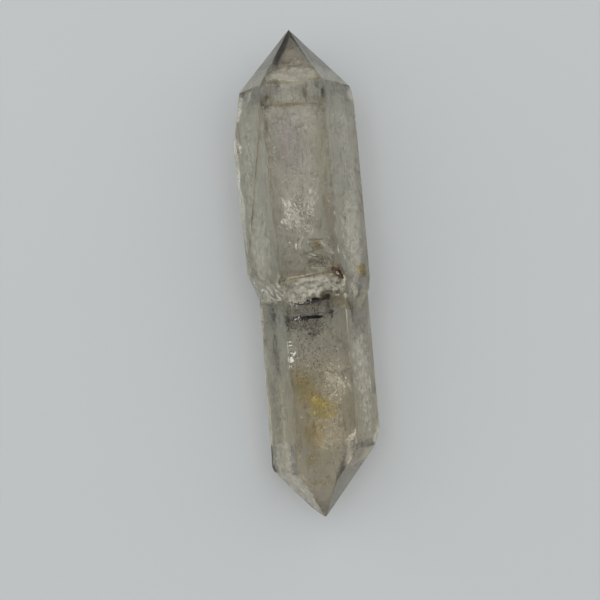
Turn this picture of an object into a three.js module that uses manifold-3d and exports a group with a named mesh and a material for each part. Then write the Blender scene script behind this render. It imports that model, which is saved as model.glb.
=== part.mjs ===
// A natural double terminated quartz crystal, lying on one of its long faces.
//
// The stone is one piece: a broad upper crystal that grew over the head of a slimmer lower one, both with
// their long c axes the same way, so that a sloping shoulder and a shallow neck run round it between them.
// Each of the two is cut from space by its flat faces: six prism faces, six faces of its pointed end, and
// the faces that close its hidden end inside the other. The shallow notches, chips and the pit are cut after
// the two are joined.
//
// Lengths are in millimetres and angles in degrees. Y runs along the c axis towards the broad point, Z up
// from the surface that the stone rests on, and X across. The origin is under the middle of the stone.

import * as THREE from "three";
import { ConvexGeometry } from "three/addons/geometries/ConvexGeometry.js";
import { mergeVertices } from "three/addons/utils/BufferGeometryUtils.js";
import Module from "manifold-3d";

const wasm = await Module();
wasm.setup();

// Compass round the c axis, seen from the narrow point: 0 looks along +X and 90 straight up.
const FRONT = 90;
const FRONT_LEFT = 150;
const BACK_LEFT = 210;
const BACK = 270;
const BACK_RIGHT = 330;
const FRONT_RIGHT = 30;

// The slope of quartz's rhombohedral faces, measured from the c axis.
const RHOMB_SLOPE = 38.2;

// Driving sizes of the broad upper crystal.
const UPPER_THICKNESS = 14.32;
const UPPER_POINT = { x: 0, y: 36.05, z: 7.8 };
const UPPER_MIDDLE = 12;

// Driving sizes of the slim lower crystal, which sits a little to the right of the upper one.
const LOWER_THICKNESS = 11.52;
const LOWER_OFFSET = 0.73;
const LOWER_POINT = { x: 0, y: -29.2, z: 7.3 };
const LOWER_TIP_BLUNTED_AT = -28.97;
const LOWER_MIDDLE = -11;

const upperAxis = { x: 0, z: UPPER_THICKNESS / 2 };
const lowerAxis = { x: LOWER_OFFSET, z: LOWER_THICKNESS / 2 };

// Prism faces: how far each stands from its crystal's axis at mid length, and how far it leans towards +Y.
// The back right faces are also turned a little about the axis, which widens the back past the front.
const UPPER_PRISM = [
  { facing: FRONT, distance: UPPER_THICKNESS / 2, lean: 0 },
  { facing: FRONT_LEFT, distance: 6.96, lean: -1.0 },
  { facing: BACK_LEFT, distance: 7.3, lean: -2.3 },
  { facing: BACK, distance: UPPER_THICKNESS / 2, lean: 0 },
  { facing: BACK_RIGHT, distance: 7.48, lean: 0, turn: 5.5 },
  { facing: FRONT_RIGHT, distance: 7.13, lean: 1.4 },
];
const LOWER_PRISM = [
  { facing: FRONT, distance: LOWER_THICKNESS / 2, lean: 0 },
  { facing: FRONT_LEFT, distance: 6.28, lean: 0 },
  { facing: BACK_LEFT, distance: 6.59, lean: 0 },
  { facing: BACK, distance: LOWER_THICKNESS / 2, lean: 0 },
  { facing: BACK_RIGHT, distance: 6.69, lean: 1.5, turn: 4 },
  { facing: FRONT_RIGHT, distance: 6.4, lean: 0 },
];

// Faces of the two points: the slope from the c axis, and how far each stops short of the point itself.
// A face that is short by less than nothing runs clear of the point, so that it stays a small one.
const UPPER_TERMINATION = [
  { facing: FRONT, slope: RHOMB_SLOPE, short: 0 },
  { facing: FRONT_LEFT, slope: 40.2, short: 0.05 },
  { facing: BACK_LEFT, slope: 34, short: 0.02 },
  { facing: BACK, slope: RHOMB_SLOPE, short: -0.8 },
  { facing: BACK_RIGHT, slope: 39.6, short: 0 },
  { facing: FRONT_RIGHT, slope: 38.6, short: 0.03 },
];
const LOWER_TERMINATION = [
  { facing: FRONT, slope: RHOMB_SLOPE, short: 0 },
  { facing: FRONT_LEFT, slope: 37.2, short: 0 },
  { facing: BACK_LEFT, slope: 39.2, short: -0.75 },
  { facing: BACK, slope: RHOMB_SLOPE, short: 0.1 },
  { facing: BACK_RIGHT, slope: 35.8, short: 0.05 },
  { facing: FRONT_RIGHT, slope: 34.1, short: 0 },
];

// The shoulder under the broad crystal: where each face leaves the middle of its prism face, its slope from
// the c axis, and how far it is turned round the axis from the prism face above it. The front left side has
// two such faces, a turned one above a steeper one.
const SHOULDER = [
  { facing: FRONT, from: 3.65, slope: 36, turn: 0 },
  { facing: FRONT_LEFT, from: 2.46, slope: 36, turn: 0 },
  { facing: FRONT_LEFT, from: 2.6, slope: 24, turn: 8 },
  { facing: BACK_LEFT, from: 3.7, slope: 11, turn: 0 },
  { facing: BACK, from: 0.9, slope: 30, turn: 0 },
  { facing: BACK_RIGHT, from: 1.4, slope: 30, turn: 0 },
  { facing: FRONT_RIGHT, from: 2.4, slope: 14, turn: 0 },
];
// The head of the slim crystal, which the broad one grew over.
const BURIED_HEAD = [
  { facing: FRONT, from: 1.0, slope: 30, turn: 0 },
  { facing: FRONT_LEFT, from: 1.0, slope: 30, turn: 0 },
  { facing: BACK_LEFT, from: 1.6, slope: 30, turn: 0 },
  { facing: BACK, from: -0.6, slope: 30, turn: 0 },
  { facing: BACK_RIGHT, from: 1.2, slope: 35, turn: 0 },
  { facing: FRONT_RIGHT, from: 1.0, slope: 30, turn: 0 },
];

// Narrow bevels on the two side edges just under the broad point.
const SIDE_BEVELS = [
  { side: -1, x: -7.23, y: 27.7, slope: 10.7 },
  { side: 1, x: 7.8, y: 27.7, slope: 7 },
];

// Steps in the front face beside the broad point, where its last growth layers stop short of the corner.
const LAYER_STEPS = [
  { left: -2.9, right: 1.6, low: 25.15, high: 29.5, depth: 0.12, ramp: 0.35 },
  { left: 1.4, right: 6, low: 25.5, high: 29.5, depth: 0.32, ramp: 0.6 },
];

// Bites out of the edges: each is where a flat-sided lump cuts in, and the lump's three half widths.
const CHIPS = [
  { name: "broad left corner", at: [-3.6, 25.55, 14.4], half: [0.85, 0.8, 0.5], turn: 25 },
  { name: "bevel, high", at: [-8.15, 26.1, 7.3], half: [0.95, 0.85, 1.5], turn: 0 },
  { name: "bevel, low", at: [-8.55, 23.9, 7.3], half: [0.87, 1.1, 1.6], turn: 4 },
  { name: "broad left edge", at: [-8.8, 6.4, 7.4], half: [0.62, 1.5, 1.0], turn: -6 },
  { name: "broad right edge", at: [8.8, 13.2, 6.9], half: [0.55, 1.2, 0.9], turn: 12 },
  { name: "slim front edge", at: [-3.5, -17.6, 11.7], half: [0.3, 0.85, 0.34], turn: -4 },
  { name: "slim back edge", at: [4.35, -12.4, -0.12], half: [0.5, 1.3, 0.45], turn: 15 },
  { name: "broad back corner", at: [-4.3, 21.5, -0.1], half: [0.55, 1.0, 0.5], turn: -20 },
];
const CHIP_DETAIL = 1;

// The rimmed pit at the right end of the shoulder, where the growth left a hole.
const PIT = { at: [4.0, 2.95, 14.0], half: [0.4, 1.1, 0.75], turn: 30 };

// The hollow in the foot of the shoulder, which lets the slim crystal's front face run further up.
const FOOT_HOLLOW = { at: [2.6, -0.1, 12.42], half: [1.9, 1.1, 0.9], turn: 4 };
const HOLLOW_DETAIL = 2;

const radians = THREE.MathUtils.degToRad;

/** The unit direction across the c axis that a face looks in. */
function across(facing) {
  return new THREE.Vector3(Math.cos(radians(facing)), 0, Math.sin(radians(facing)));
}

/** The plane through a point, looking in a direction. */
function planeThrough(normal, point) {
  return new THREE.Plane().setFromNormalAndCoplanarPoint(normal.clone().normalize(), point);
}

/** A face that looks across the c axis and tips by an angle towards +Y, through a point. */
function tippedFace(facing, tip, point) {
  const normal = across(facing).multiplyScalar(Math.cos(radians(tip)));
  normal.y = Math.sin(radians(tip));
  return planeThrough(normal, point);
}

/** The compass direction that a prism face looks in, with its own small turn. */
function compassOf({ facing, turn = 0 }) {
  return facing + turn;
}

/** The place on a prism face straight out from its crystal's axis, at a height along that axis. */
function onPrismFace(axis, face, middle, y) {
  const distance = face.distance - (y - middle) * Math.tan(radians(face.lean));
  return across(compassOf(face))
    .multiplyScalar(distance)
    .add(new THREE.Vector3(axis.x, y, axis.z));
}

function prismPlanes(axis, prism, middle) {
  return prism.map((face) => tippedFace(compassOf(face), face.lean, onPrismFace(axis, face, middle, middle)));
}

/** The faces of a point. way is 1 for the end at +Y and -1 for the end at -Y. */
function terminationPlanes(point, faces, way) {
  const tip = new THREE.Vector3(point.x, point.y, point.z);
  return faces.map(({ facing, slope, short }) => {
    const plane = tippedFace(facing, way * slope, tip);
    plane.constant += short;
    return plane;
  });
}

/** The faces that close a crystal's other end, each leaving its prism face at a stated height. */
function closingPlanes(axis, prism, middle, closings, way) {
  return closings.map(({ facing, from, slope, turn }) => {
    const face = prism.find((one) => one.facing === facing);
    return tippedFace(facing + turn, way * slope, onPrismFace(axis, face, middle, from));
  });
}

/** The point where three planes meet, or null where two of them are parallel. */
function meetingPoint(a, b, c) {
  const bc = new THREE.Vector3().crossVectors(b.normal, c.normal);
  const ca = new THREE.Vector3().crossVectors(c.normal, a.normal);
  const ab = new THREE.Vector3().crossVectors(a.normal, b.normal);
  const volume = a.normal.dot(bc);
  if (Math.abs(volume) < 1e-6) return null;
  return bc
    .multiplyScalar(-a.constant)
    .addScaledVector(ca, -b.constant)
    .addScaledVector(ab, -c.constant)
    .divideScalar(volume);
}

/** The corners of the space behind all the planes. */
function cornersBehind(planes) {
  const touching = 1e-5;
  const corners = [];
  for (let i = 0; i < planes.length; i += 1) {
    for (let j = i + 1; j < planes.length; j += 1) {
      for (let k = j + 1; k < planes.length; k += 1) {
        const corner = meetingPoint(planes[i], planes[j], planes[k]);
        const inside = corner && planes.every((plane) => plane.distanceToPoint(corner) < touching);
        if (inside && corners.every((other) => other.distanceTo(corner) > 1e-3)) corners.push(corner);
      }
    }
  }
  return corners;
}

/** A closed geometry as a solid that can be joined and cut. */
function asSolid(geometry) {
  const bare = new THREE.BufferGeometry().setAttribute("position", geometry.getAttribute("position"));
  if (geometry.index) bare.setIndex(geometry.index);
  const merged = mergeVertices(bare, 1e-4);
  return new wasm.Manifold(
    new wasm.Mesh({
      numProp: 3,
      vertProperties: new Float32Array(merged.attributes.position.array),
      triVerts: new Uint32Array(merged.index.array),
    }),
  );
}

function crystal(planes) {
  return asSolid(new ConvexGeometry(cornersBehind(planes)));
}

/** A lump with flat sides, stretched to its half widths and turned about the upward axis. */
function lump({ at, half, turn }, detail) {
  const geometry = new THREE.IcosahedronGeometry(1, detail);
  geometry.scale(...half);
  geometry.rotateZ(radians(turn));
  geometry.translate(...at);
  return asSolid(geometry);
}

/** The block whose removal leaves the step beside the broad point, with a ramp at its lower end. */
function layerStep({ left, right, low, high, depth, ramp }) {
  const clear = 2;
  const outline = new THREE.Shape([
    new THREE.Vector2(low - ramp, 0),
    new THREE.Vector2(low, -depth),
    new THREE.Vector2(high, -depth),
    new THREE.Vector2(high, clear),
    new THREE.Vector2(low - ramp, clear),
  ]);
  const geometry = new THREE.ExtrudeGeometry(outline, { depth: right - left, bevelEnabled: false });
  geometry.rotateX(Math.PI / 2);
  geometry.rotateZ(Math.PI / 2);
  geometry.translate(left, 0, UPPER_THICKNESS);
  return asSolid(geometry);
}

/** The bevel on a side edge under the broad point. */
function bevelPlane({ side, x, y, slope }) {
  const normal = new THREE.Vector3(side * Math.cos(radians(slope)), Math.sin(radians(slope)), 0);
  return planeThrough(normal, new THREE.Vector3(x, y, 0));
}

function broadCrystal() {
  return crystal([
    ...prismPlanes(upperAxis, UPPER_PRISM, UPPER_MIDDLE),
    ...terminationPlanes(UPPER_POINT, UPPER_TERMINATION, 1),
    ...closingPlanes(upperAxis, UPPER_PRISM, UPPER_MIDDLE, SHOULDER, -1),
    ...SIDE_BEVELS.map(bevelPlane),
  ]);
}

function slimCrystal() {
  const bluntTip = planeThrough(new THREE.Vector3(0, -1, 0), new THREE.Vector3(0, LOWER_TIP_BLUNTED_AT, 0));
  return crystal([
    ...prismPlanes(lowerAxis, LOWER_PRISM, LOWER_MIDDLE),
    ...terminationPlanes(LOWER_POINT, LOWER_TERMINATION, -1),
    ...closingPlanes(lowerAxis, LOWER_PRISM, LOWER_MIDDLE, BURIED_HEAD, 1),
    bluntTip,
  ]);
}

function wholeStone() {
  const joined = broadCrystal().add(slimCrystal());
  const cuts = [
    ...LAYER_STEPS.map(layerStep),
    lump(FOOT_HOLLOW, HOLLOW_DETAIL),
    lump(PIT, HOLLOW_DETAIL),
    ...CHIPS.map((chip) => lump(chip, CHIP_DETAIL)),
  ];
  return cuts.reduce((stone, cut) => stone.subtract(cut), joined);
}

/** A solid as a geometry, moved so that the origin lies under the middle of its box. */
function restingGeometry(solid) {
  const mesh = solid.getMesh();
  const geometry = new THREE.BufferGeometry()
    .setAttribute("position", new THREE.BufferAttribute(new Float32Array(mesh.vertProperties), 3))
    .setIndex(new THREE.BufferAttribute(new Uint32Array(mesh.triVerts), 1));
  geometry.computeBoundingBox();
  const { min, max } = geometry.boundingBox;
  geometry.translate(-(min.x + max.x) / 2, -(min.y + max.y) / 2, -min.z);
  geometry.computeVertexNormals();
  return geometry;
}

const smokyClear = new THREE.MeshStandardMaterial({
  color: 0xa8a294,
  roughness: 0.18,
  metalness: 0,
  transparent: true,
  opacity: 0.6,
  flatShading: true,
});

const stone = new THREE.Mesh(restingGeometry(wholeStone()), smokyClear);
stone.name = "quartz_crystal";

const group = new THREE.Group();
group.add(stone);

export default group;
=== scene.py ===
"""A natural double terminated quartz crystal, lying on one long face on a pale floor.

The frame gives the stone's true faces. Each of them is filled with fine triangles and worked into growth
relief, and the stone is then dressed as see-through quartz, its tint carrying painted shade by side, along
its edges and over its broad point. What it holds inside, its veils, bright cracks, dark films, rust and
specks, is made as thin flakes scattered over curved sheets. Frost, soot, specks and small marks on its
surface are flakes too, laid on its triangles or pressed onto them, and pure white pressed flakes are painted
glints where growth steps catch the light.

Sizes below are in millimetres and turned into metres by MM. Y runs along the stone towards its broad point
and Z is up.
"""
import logging
import math
from dataclasses import dataclass
from enum import Enum

import bmesh
import bpy
import numpy as np
from mathutils import Euler, Matrix, Vector, kdtree, noise
from mathutils.geometry import delaunay_2d_cdt


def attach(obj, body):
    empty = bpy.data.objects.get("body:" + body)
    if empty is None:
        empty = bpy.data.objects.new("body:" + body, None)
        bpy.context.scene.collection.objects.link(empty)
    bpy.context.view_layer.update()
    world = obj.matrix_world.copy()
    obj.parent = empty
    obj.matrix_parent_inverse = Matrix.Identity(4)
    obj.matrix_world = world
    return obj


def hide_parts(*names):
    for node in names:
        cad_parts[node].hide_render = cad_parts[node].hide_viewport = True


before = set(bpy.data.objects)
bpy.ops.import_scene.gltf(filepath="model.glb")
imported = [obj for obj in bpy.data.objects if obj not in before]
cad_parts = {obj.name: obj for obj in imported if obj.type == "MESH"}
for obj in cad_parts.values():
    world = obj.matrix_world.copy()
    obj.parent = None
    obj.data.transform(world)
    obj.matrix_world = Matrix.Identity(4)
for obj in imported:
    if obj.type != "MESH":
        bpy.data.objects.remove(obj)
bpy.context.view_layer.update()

MM = 0.001
NODE = "quartz_crystal"
BROAD_FRONT = 14.3
SLIM_FRONT = 11.3
ANYWHERE = -1000.0
COVER_RAMP = 0.14
RIM_LOSS = 0.3
FACES_ALIKE = 0.86

log = logging.getLogger("quartz")


def smooth_step(low: float, high: float, value: float) -> float:
    """A value between 0 and 1 that eases from low to high."""
    share = min(max((value - low) / (high - low), 0.0), 1.0)
    return share * share * (3.0 - 2.0 * share)


def linear(colour: tuple[int, int, int]) -> tuple[float, float, float, float]:
    """A screen colour in 0 to 255 as the shader's linear colour with full alpha.

    Args:
        colour: Red, green and blue as they look on screen.

    Returns:
        The linear colour that Blender's sockets take.
    """
    scaled = [part / 255.0 for part in colour]
    flat = [part / 12.92 if part <= 0.04045 else ((part + 0.055) / 1.055) ** 2.4 for part in scaled]
    return (*flat, 1.0)


class Growth(Enum):
    """How a face of the stone grew, which decides its relief."""

    PRISM = "prism"
    POINT = "point"
    SHOULDER = "shoulder"


class NodeBoard:
    """A small helper that adds nodes to a tree and links them."""

    def __init__(self, tree: bpy.types.NodeTree) -> None:
        """Keeps the tree that the nodes go into."""
        self.tree = tree

    def add(self, kind: str, inputs: dict | None = None, **settings: object) -> bpy.types.Node:
        """Adds a node.

        Args:
            kind: The node's type name.
            inputs: Values or output sockets for its inputs, by socket name or number.
            **settings: Properties set on the node itself.

        Returns:
            The new node.
        """
        node = self.tree.nodes.new(kind)
        for name, value in settings.items():
            setattr(node, name, value)
        for key, value in (inputs or {}).items():
            self.feed(node.inputs[key], value)
        return node

    def feed(self, socket: bpy.types.NodeSocket, value: object) -> None:
        """Links an output to a socket, or sets the socket's own value."""
        if isinstance(value, bpy.types.NodeSocket):
            self.tree.links.new(value, socket)
        else:
            socket.default_value = value

    def math(
        self, operation: str, first: object, second: object = 0.0, third: object = 0.0
    ) -> bpy.types.NodeSocket:
        """The result of a maths node on up to three values or sockets."""
        node = self.add("ShaderNodeMath", operation=operation)
        for socket, value in zip(node.inputs, (first, second, third)):
            self.feed(socket, value)
        return node.outputs[0]


@dataclass(frozen=True)
class StainAndShade:
    """A tinted spot on or just under the surface: most are stains, and one is painted shade."""

    centre: tuple[float, float, float]
    radii: tuple[float, float, float]
    colour: tuple[int, int, int]
    strength: float
    grain: float = 1.6
    turn: float = 0.0


@dataclass(frozen=True)
class ClearQuartz:
    """The see-through finish of the stone itself."""

    ior: float = 1.544
    pale: tuple[int, int, int] = (255, 254, 247)
    mottled: tuple[int, int, int] = (190, 186, 180)
    streaked: tuple[int, int, int] = (208, 203, 190)
    painted_edge_shade: tuple[int, int, int] = (224, 217, 198)
    left_side_shade: tuple[int, int, int] = (252, 255, 250)
    front_side_shade: tuple[int, int, int] = (254, 250, 244)
    body: tuple[float, float, float] = (0.74, 0.71, 0.645)
    absorption: float = 14.0
    smoothest: float = 0.05
    roughest: float = 0.30
    stains_and_shade: tuple[StainAndShade, ...] = ()

    def build(self) -> bpy.types.Material:
        """Makes the material: transmission, IOR, absorption, stains and painted shade, with roughness and
        bump from noise.

        Returns:
            The finished material.
        """
        material = bpy.data.materials.new("clear_quartz")
        material.use_nodes = True
        board = NodeBoard(material.node_tree)
        shader = material.node_tree.nodes["Principled BSDF"]
        output = material.node_tree.nodes["Material Output"]
        place = board.add("ShaderNodeTexCoord").outputs["Object"]

        shader.inputs["Transmission Weight"].default_value = 1.0
        shader.inputs["IOR"].default_value = self.ior
        board.feed(shader.inputs["Base Color"], self._colour(board, place))
        board.feed(shader.inputs["Roughness"], self._roughness(board, place))
        board.feed(shader.inputs["Normal"], self._bump(board, place))

        absorb = board.add(
            "ShaderNodeVolumeAbsorption", {"Color": (*self.body, 1.0), "Density": self.absorption}
        )
        board.feed(output.inputs["Volume"], absorb.outputs[0])
        return material

    def _colour(self, board: NodeBoard, place: bpy.types.NodeSocket) -> bpy.types.NodeSocket:
        """The surface tint: mottled, streaked along the length, given painted shade by side and along the
        edges, then coloured by each stain and painted shade spot in turn.
        """
        ragged = board.add(
            "ShaderNodeTexNoise", {"Vector": place, "Scale": 1.1 / MM, "Detail": 6.0, "Roughness": 0.7}
        ).outputs["Fac"]
        cloud = board.add(
            "ShaderNodeTexNoise", {"Vector": place, "Scale": 0.24 / MM, "Detail": 3.0, "Roughness": 0.6}
        ).outputs["Fac"]
        drawn = board.add(
            "ShaderNodeMapping", {"Vector": place, "Scale": (2.6 / MM, 0.42 / MM, 2.6 / MM)}
        ).outputs[0]
        streak = board.add(
            "ShaderNodeTexNoise", {"Vector": drawn, "Scale": 1.0, "Detail": 4.0, "Roughness": 0.62}
        ).outputs["Fac"]
        blotches = board.math("MULTIPLY_ADD", cloud, 0.8, ragged)
        colour: object = linear(self.pale)
        colour = self._tinted(board, colour, self.mottled, (blotches, 0.94, 1.16))
        colour = self._tinted(board, colour, self.streaked, (streak, 0.52, 0.68))
        # Painted shading by side: faces that look left, and faces that don't look sideways, each get a tint
        # of their own.
        facing = board.add("ShaderNodeAttribute", attribute_name="across").outputs["Fac"]
        colour = self._tinted(board, colour, self.left_side_shade, (facing, -0.3, -0.7))
        colour = self._tinted(board, colour, self.front_side_shade, (board.math("ABSOLUTE", facing), 0.3, 0.1))
        # Painted shade: a darker, warmer band along each sharp edge, standing in for the darkening near edges
        # that refraction gives.
        edge = board.add("ShaderNodeAttribute", attribute_name="edge").outputs["Fac"]
        uneven = board.math("MULTIPLY_ADD", ragged, -1.6, 0.8)
        colour = self._tinted(board, colour, self.painted_edge_shade, (board.math("ADD", edge, uneven), 0.6, 0.05))
        for tint_spot in self.stains_and_shade:
            local = board.add(
                "ShaderNodeMapping",
                {
                    "Vector": place,
                    "Location": [part * MM for part in tint_spot.centre],
                    "Rotation": (0.0, 0.0, math.radians(tint_spot.turn)),
                    "Scale": [part * MM for part in tint_spot.radii],
                },
                vector_type="TEXTURE",
            ).outputs[0]
            reach = board.add("ShaderNodeVectorMath", {0: local}, operation="LENGTH").outputs["Value"]
            uneven = board.math("MULTIPLY_ADD", ragged, tint_spot.grain, -0.5 * tint_spot.grain)
            edge = board.math("ADD", reach, uneven)
            colour = self._tinted(board, colour, tint_spot.colour, (edge, 1.0, 0.35), tint_spot.strength)
        return colour

    def _tinted(
        self,
        board: NodeBoard,
        colour: object,
        tint: tuple[int, int, int],
        ramp: tuple[bpy.types.NodeSocket, float, float],
        strength: float = 1.0,
    ) -> bpy.types.NodeSocket:
        """A colour multiplied by a tint where a value passes along its ramp.

        Args:
            board: The board that the nodes go on.
            colour: The colour so far.
            tint: What it is multiplied by at the far end of the ramp.
            ramp: The value, where it starts to tell and where it tells in full.
            strength: The most of the tint that is taken.

        Returns:
            The new colour.
        """
        value, start, end = ramp
        mask = board.add(
            "ShaderNodeMapRange",
            {"Value": value, "From Min": start, "From Max": end, "To Min": 0.0, "To Max": strength},
            interpolation_type="SMOOTHSTEP",
        ).outputs[0]
        mix = board.add("ShaderNodeMix", data_type="RGBA", blend_type="MULTIPLY")
        board.feed(mix.inputs[0], mask)
        board.feed(mix.inputs[6], colour)
        board.feed(mix.inputs[7], linear(tint))
        return mix.outputs[2]

    def _roughness(self, board: NodeBoard, place: bpy.types.NodeSocket) -> bpy.types.NodeSocket:
        """Bright faces with duller, slightly etched patches."""
        patch = board.add(
            "ShaderNodeTexNoise", {"Vector": place, "Scale": 0.28 / MM, "Detail": 6.0, "Roughness": 0.6}
        ).outputs["Fac"]
        return board.add(
            "ShaderNodeMapRange",
            {
                "Value": patch,
                "From Min": 0.38,
                "From Max": 0.68,
                "To Min": self.smoothest,
                "To Max": self.roughest,
            },
        ).outputs[0]

    def _bump(self, board: NodeBoard, place: bpy.types.NodeSocket) -> bpy.types.NodeSocket:
        """Fine growth lines across the length, and a fine unevenness."""
        lines = board.add(
            "ShaderNodeMapping", {"Vector": place, "Scale": (0.9 / MM, 5.5 / MM, 0.9 / MM)}
        ).outputs[0]
        steps = board.add("ShaderNodeTexNoise", {"Vector": lines, "Scale": 1.0, "Detail": 2.0}).outputs["Fac"]
        grit = board.add(
            "ShaderNodeTexNoise", {"Vector": place, "Scale": 1.7 / MM, "Detail": 4.0, "Roughness": 0.6}
        ).outputs["Fac"]
        height = board.math("MULTIPLY_ADD", grit, 1.4, steps)
        bump = board.add("ShaderNodeBump", {"Height": height, "Strength": 1.0, "Distance": 0.018 * MM})
        return bump.outputs[0]


@dataclass
class CrystalBody:
    """The stone itself: the frame's faces, filled with fine triangles and worked into growth relief."""

    finish: ClearQuartz
    spacing: float = 0.24
    flat_angle: float = 0.6
    bent_angle: float = 2.0
    merged_within: float = 0.03
    clear_of_edge: float = 0.62
    underside: float = -0.1
    prism_slope: float = 0.1
    points_beyond: float = 18.0
    crease_fade: float = 1.2
    settled: float = 0.03
    swell_depth: float = 0.05
    prism_depth: float = 0.05
    point_depth: float = 0.02
    shoulder_depth: float = 0.16
    unseen: float = 9.0

    def build(self) -> bpy.types.Object:
        """Builds and dresses the stone.

        Returns:
            The finished piece, standing for the frame's node.
        """
        mesh = self._facets()
        self._fill(mesh)
        self._relieve(mesh)
        data = bpy.data.meshes.new("quartz")
        mesh.to_mesh(data)
        mesh.free()
        data.materials.append(self.finish.build())
        stone = bpy.data.objects.new("quartz", data)
        bpy.context.collection.objects.link(stone)
        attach(stone, "root")
        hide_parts(NODE)
        return stone

    def _facets(self) -> bmesh.types.BMesh:
        """The frame's node merged, each flat face as one polygon with its edges cut to the spacing."""
        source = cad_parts[NODE]
        mesh = bmesh.new()
        mesh.from_mesh(source.data)
        mesh.transform(source.matrix_world)
        bmesh.ops.remove_doubles(mesh, verts=mesh.verts, dist=self.merged_within * MM)
        bmesh.ops.dissolve_degenerate(mesh, edges=mesh.edges, dist=self.merged_within * MM)
        bmesh.ops.dissolve_limit(
            mesh, angle_limit=math.radians(self.flat_angle), verts=mesh.verts, edges=mesh.edges
        )
        for edge in list(mesh.edges):
            pieces = math.ceil(edge.calc_length() / (self.spacing * MM))
            start = edge.verts[0]
            for left in range(pieces, 1, -1):
                start = bmesh.utils.edge_split(edge, start, 1.0 / left)[1]
        return mesh

    def _fill(self, mesh: bmesh.types.BMesh) -> None:
        """Replaces each polygon by even triangles with points inside it.

        A triangle with no width that two neighbours both make along their shared edge is left out of both.
        In a face with a concave outline, triangles are made outside the outline too, and the mesh isn't
        closed there.

        Args:
            mesh: The polygons, which are changed in place.
        """
        wanted: dict[frozenset, list[bmesh.types.BMVert]] = {}
        polygons = list(mesh.faces)
        for face in polygons:
            ring = [loop.vert for loop in face.loops]
            along = max(face.edges, key=lambda edge: edge.calc_length())
            middle = face.calc_center_median()
            normal = face.normal.copy()
            first = (along.verts[1].co - along.verts[0].co).normalized()
            second = normal.cross(first).normalized()
            flat = np.array([[(v.co - middle).dot(first), (v.co - middle).dot(second)] for v in ring]) / MM
            inner = self._grid_inside(flat)
            points = [Vector(point) for point in flat] + [Vector(point) for point in inner]
            triangles = delaunay_2d_cdt(points, [], [list(range(len(ring)))], 1, 1e-7, True)
            places, faces, sources = triangles[0], triangles[2], triangles[3]
            corners = []
            for place, source in zip(places, sources):
                if source and source[0] < len(ring):
                    corners.append(ring[source[0]])
                else:
                    corners.append(mesh.verts.new(middle + (first * place.x + second * place.y) * MM))
            for triangle in faces:
                trio = [corners[index] for index in triangle]
                if wanted.pop(frozenset(trio), None) is None:
                    wanted[frozenset(trio)] = trio
        for face in polygons:
            mesh.faces.remove(face)
        for trio in wanted.values():
            mesh.faces.new(trio)
        bmesh.ops.delete(mesh, geom=[vert for vert in mesh.verts if not vert.link_faces], context="VERTS")
        for edge in [one for one in mesh.edges if not one.link_faces]:
            mesh.edges.remove(edge)
        mesh.normal_update()

    def _grid_inside(self, ring: np.ndarray) -> np.ndarray:
        """Points of a triangular grid inside a polygon and clear of its edge.

        Args:
            ring: The polygon's corners in its own plane, in millimetres.

        Returns:
            The points, as rows of two numbers.
        """
        step = self.spacing
        low, high = ring.min(axis=0), ring.max(axis=0)
        if min(high - low) < 2.0 * step:
            return np.zeros((0, 2))
        rows = np.arange(low[1], high[1], step * math.sqrt(3.0) / 2.0)
        columns = np.arange(low[0], high[0], step)
        points = np.array([(x + 0.5 * step * (k % 2), y) for k, y in enumerate(rows) for x in columns])
        inside = np.zeros(len(points), dtype=bool)
        for start, end in zip(ring, np.roll(ring, -1, axis=0)):
            crosses = (start[1] > points[:, 1]) != (end[1] > points[:, 1])
            rise = end[1] - start[1] or 1e-12
            reach = (end[0] - start[0]) * (points[:, 1] - start[1]) / rise + start[0]
            inside ^= crosses & (points[:, 0] < reach)
        points = points[inside]
        nearest = np.full(len(points), np.inf)
        for corner in ring:
            nearest = np.minimum(nearest, np.hypot(*(points - corner).T))
        return points[nearest > self.clear_of_edge * step]

    def _relieve(self, mesh: bmesh.types.BMesh) -> None:
        """Sinks each face's inner points by its growth relief, leaving its edges where they are.

        Each point also keeps its distance to the nearest edge and how far its face looks across, for the
        finish's painted shade along the edges and by side. The undersides are given a far edge, so that no
        painted edge shade shows through the stone from below.

        Args:
            mesh: The triangles, which are changed in place.
        """
        edge = mesh.verts.layers.float.new("edge")
        across = mesh.verts.layers.float.new("across")
        crisp = []
        loose = []
        for vert in mesh.verts:
            normals = [face.normal for face in vert.link_faces]
            bent = any(normals[0].angle(other, 0.0) > math.radians(self.bent_angle) for other in normals[1:])
            (crisp if bent else loose).append(vert)
        tree = kdtree.KDTree(len(crisp))
        for index, vert in enumerate(crisp):
            tree.insert(vert.co, index)
        tree.balance()
        depths = {vert: self._swell(vert.co / MM) for vert in crisp}
        for vert in crisp:
            vert[edge] = 0.0 if vert.normal.z > self.underside else self.unseen
        for vert in loose:
            reach = tree.find(vert.co)[2] / MM
            vert[edge] = reach if vert.normal.z > self.underside else self.unseen
            vert[across] = vert.normal.x
            depths[vert] = self._swell(vert.co / MM) + self._depth(vert.co / MM, vert.normal, reach)
        for vert, depth in depths.items():
            vert.co -= vert.normal * (depth * MM)
        mesh.normal_update()

    def _swell(self, place: Vector) -> float:
        """The broad unevenness that faces and edges share, in millimetres."""
        hills = noise.noise(place * 0.3 + Vector((7.0, 1.0, 3.0)))
        return self.settled + self.swell_depth * max(0.0, 0.5 + hills)

    def _kind(self, place: Vector, normal: Vector) -> Growth:
        """Which kind of face a place is on, from where it is and the way that it faces."""
        if abs(normal.y) < self.prism_slope:
            return Growth.PRISM
        if abs(place.y) > self.points_beyond:
            return Growth.POINT
        return Growth.SHOULDER

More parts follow.
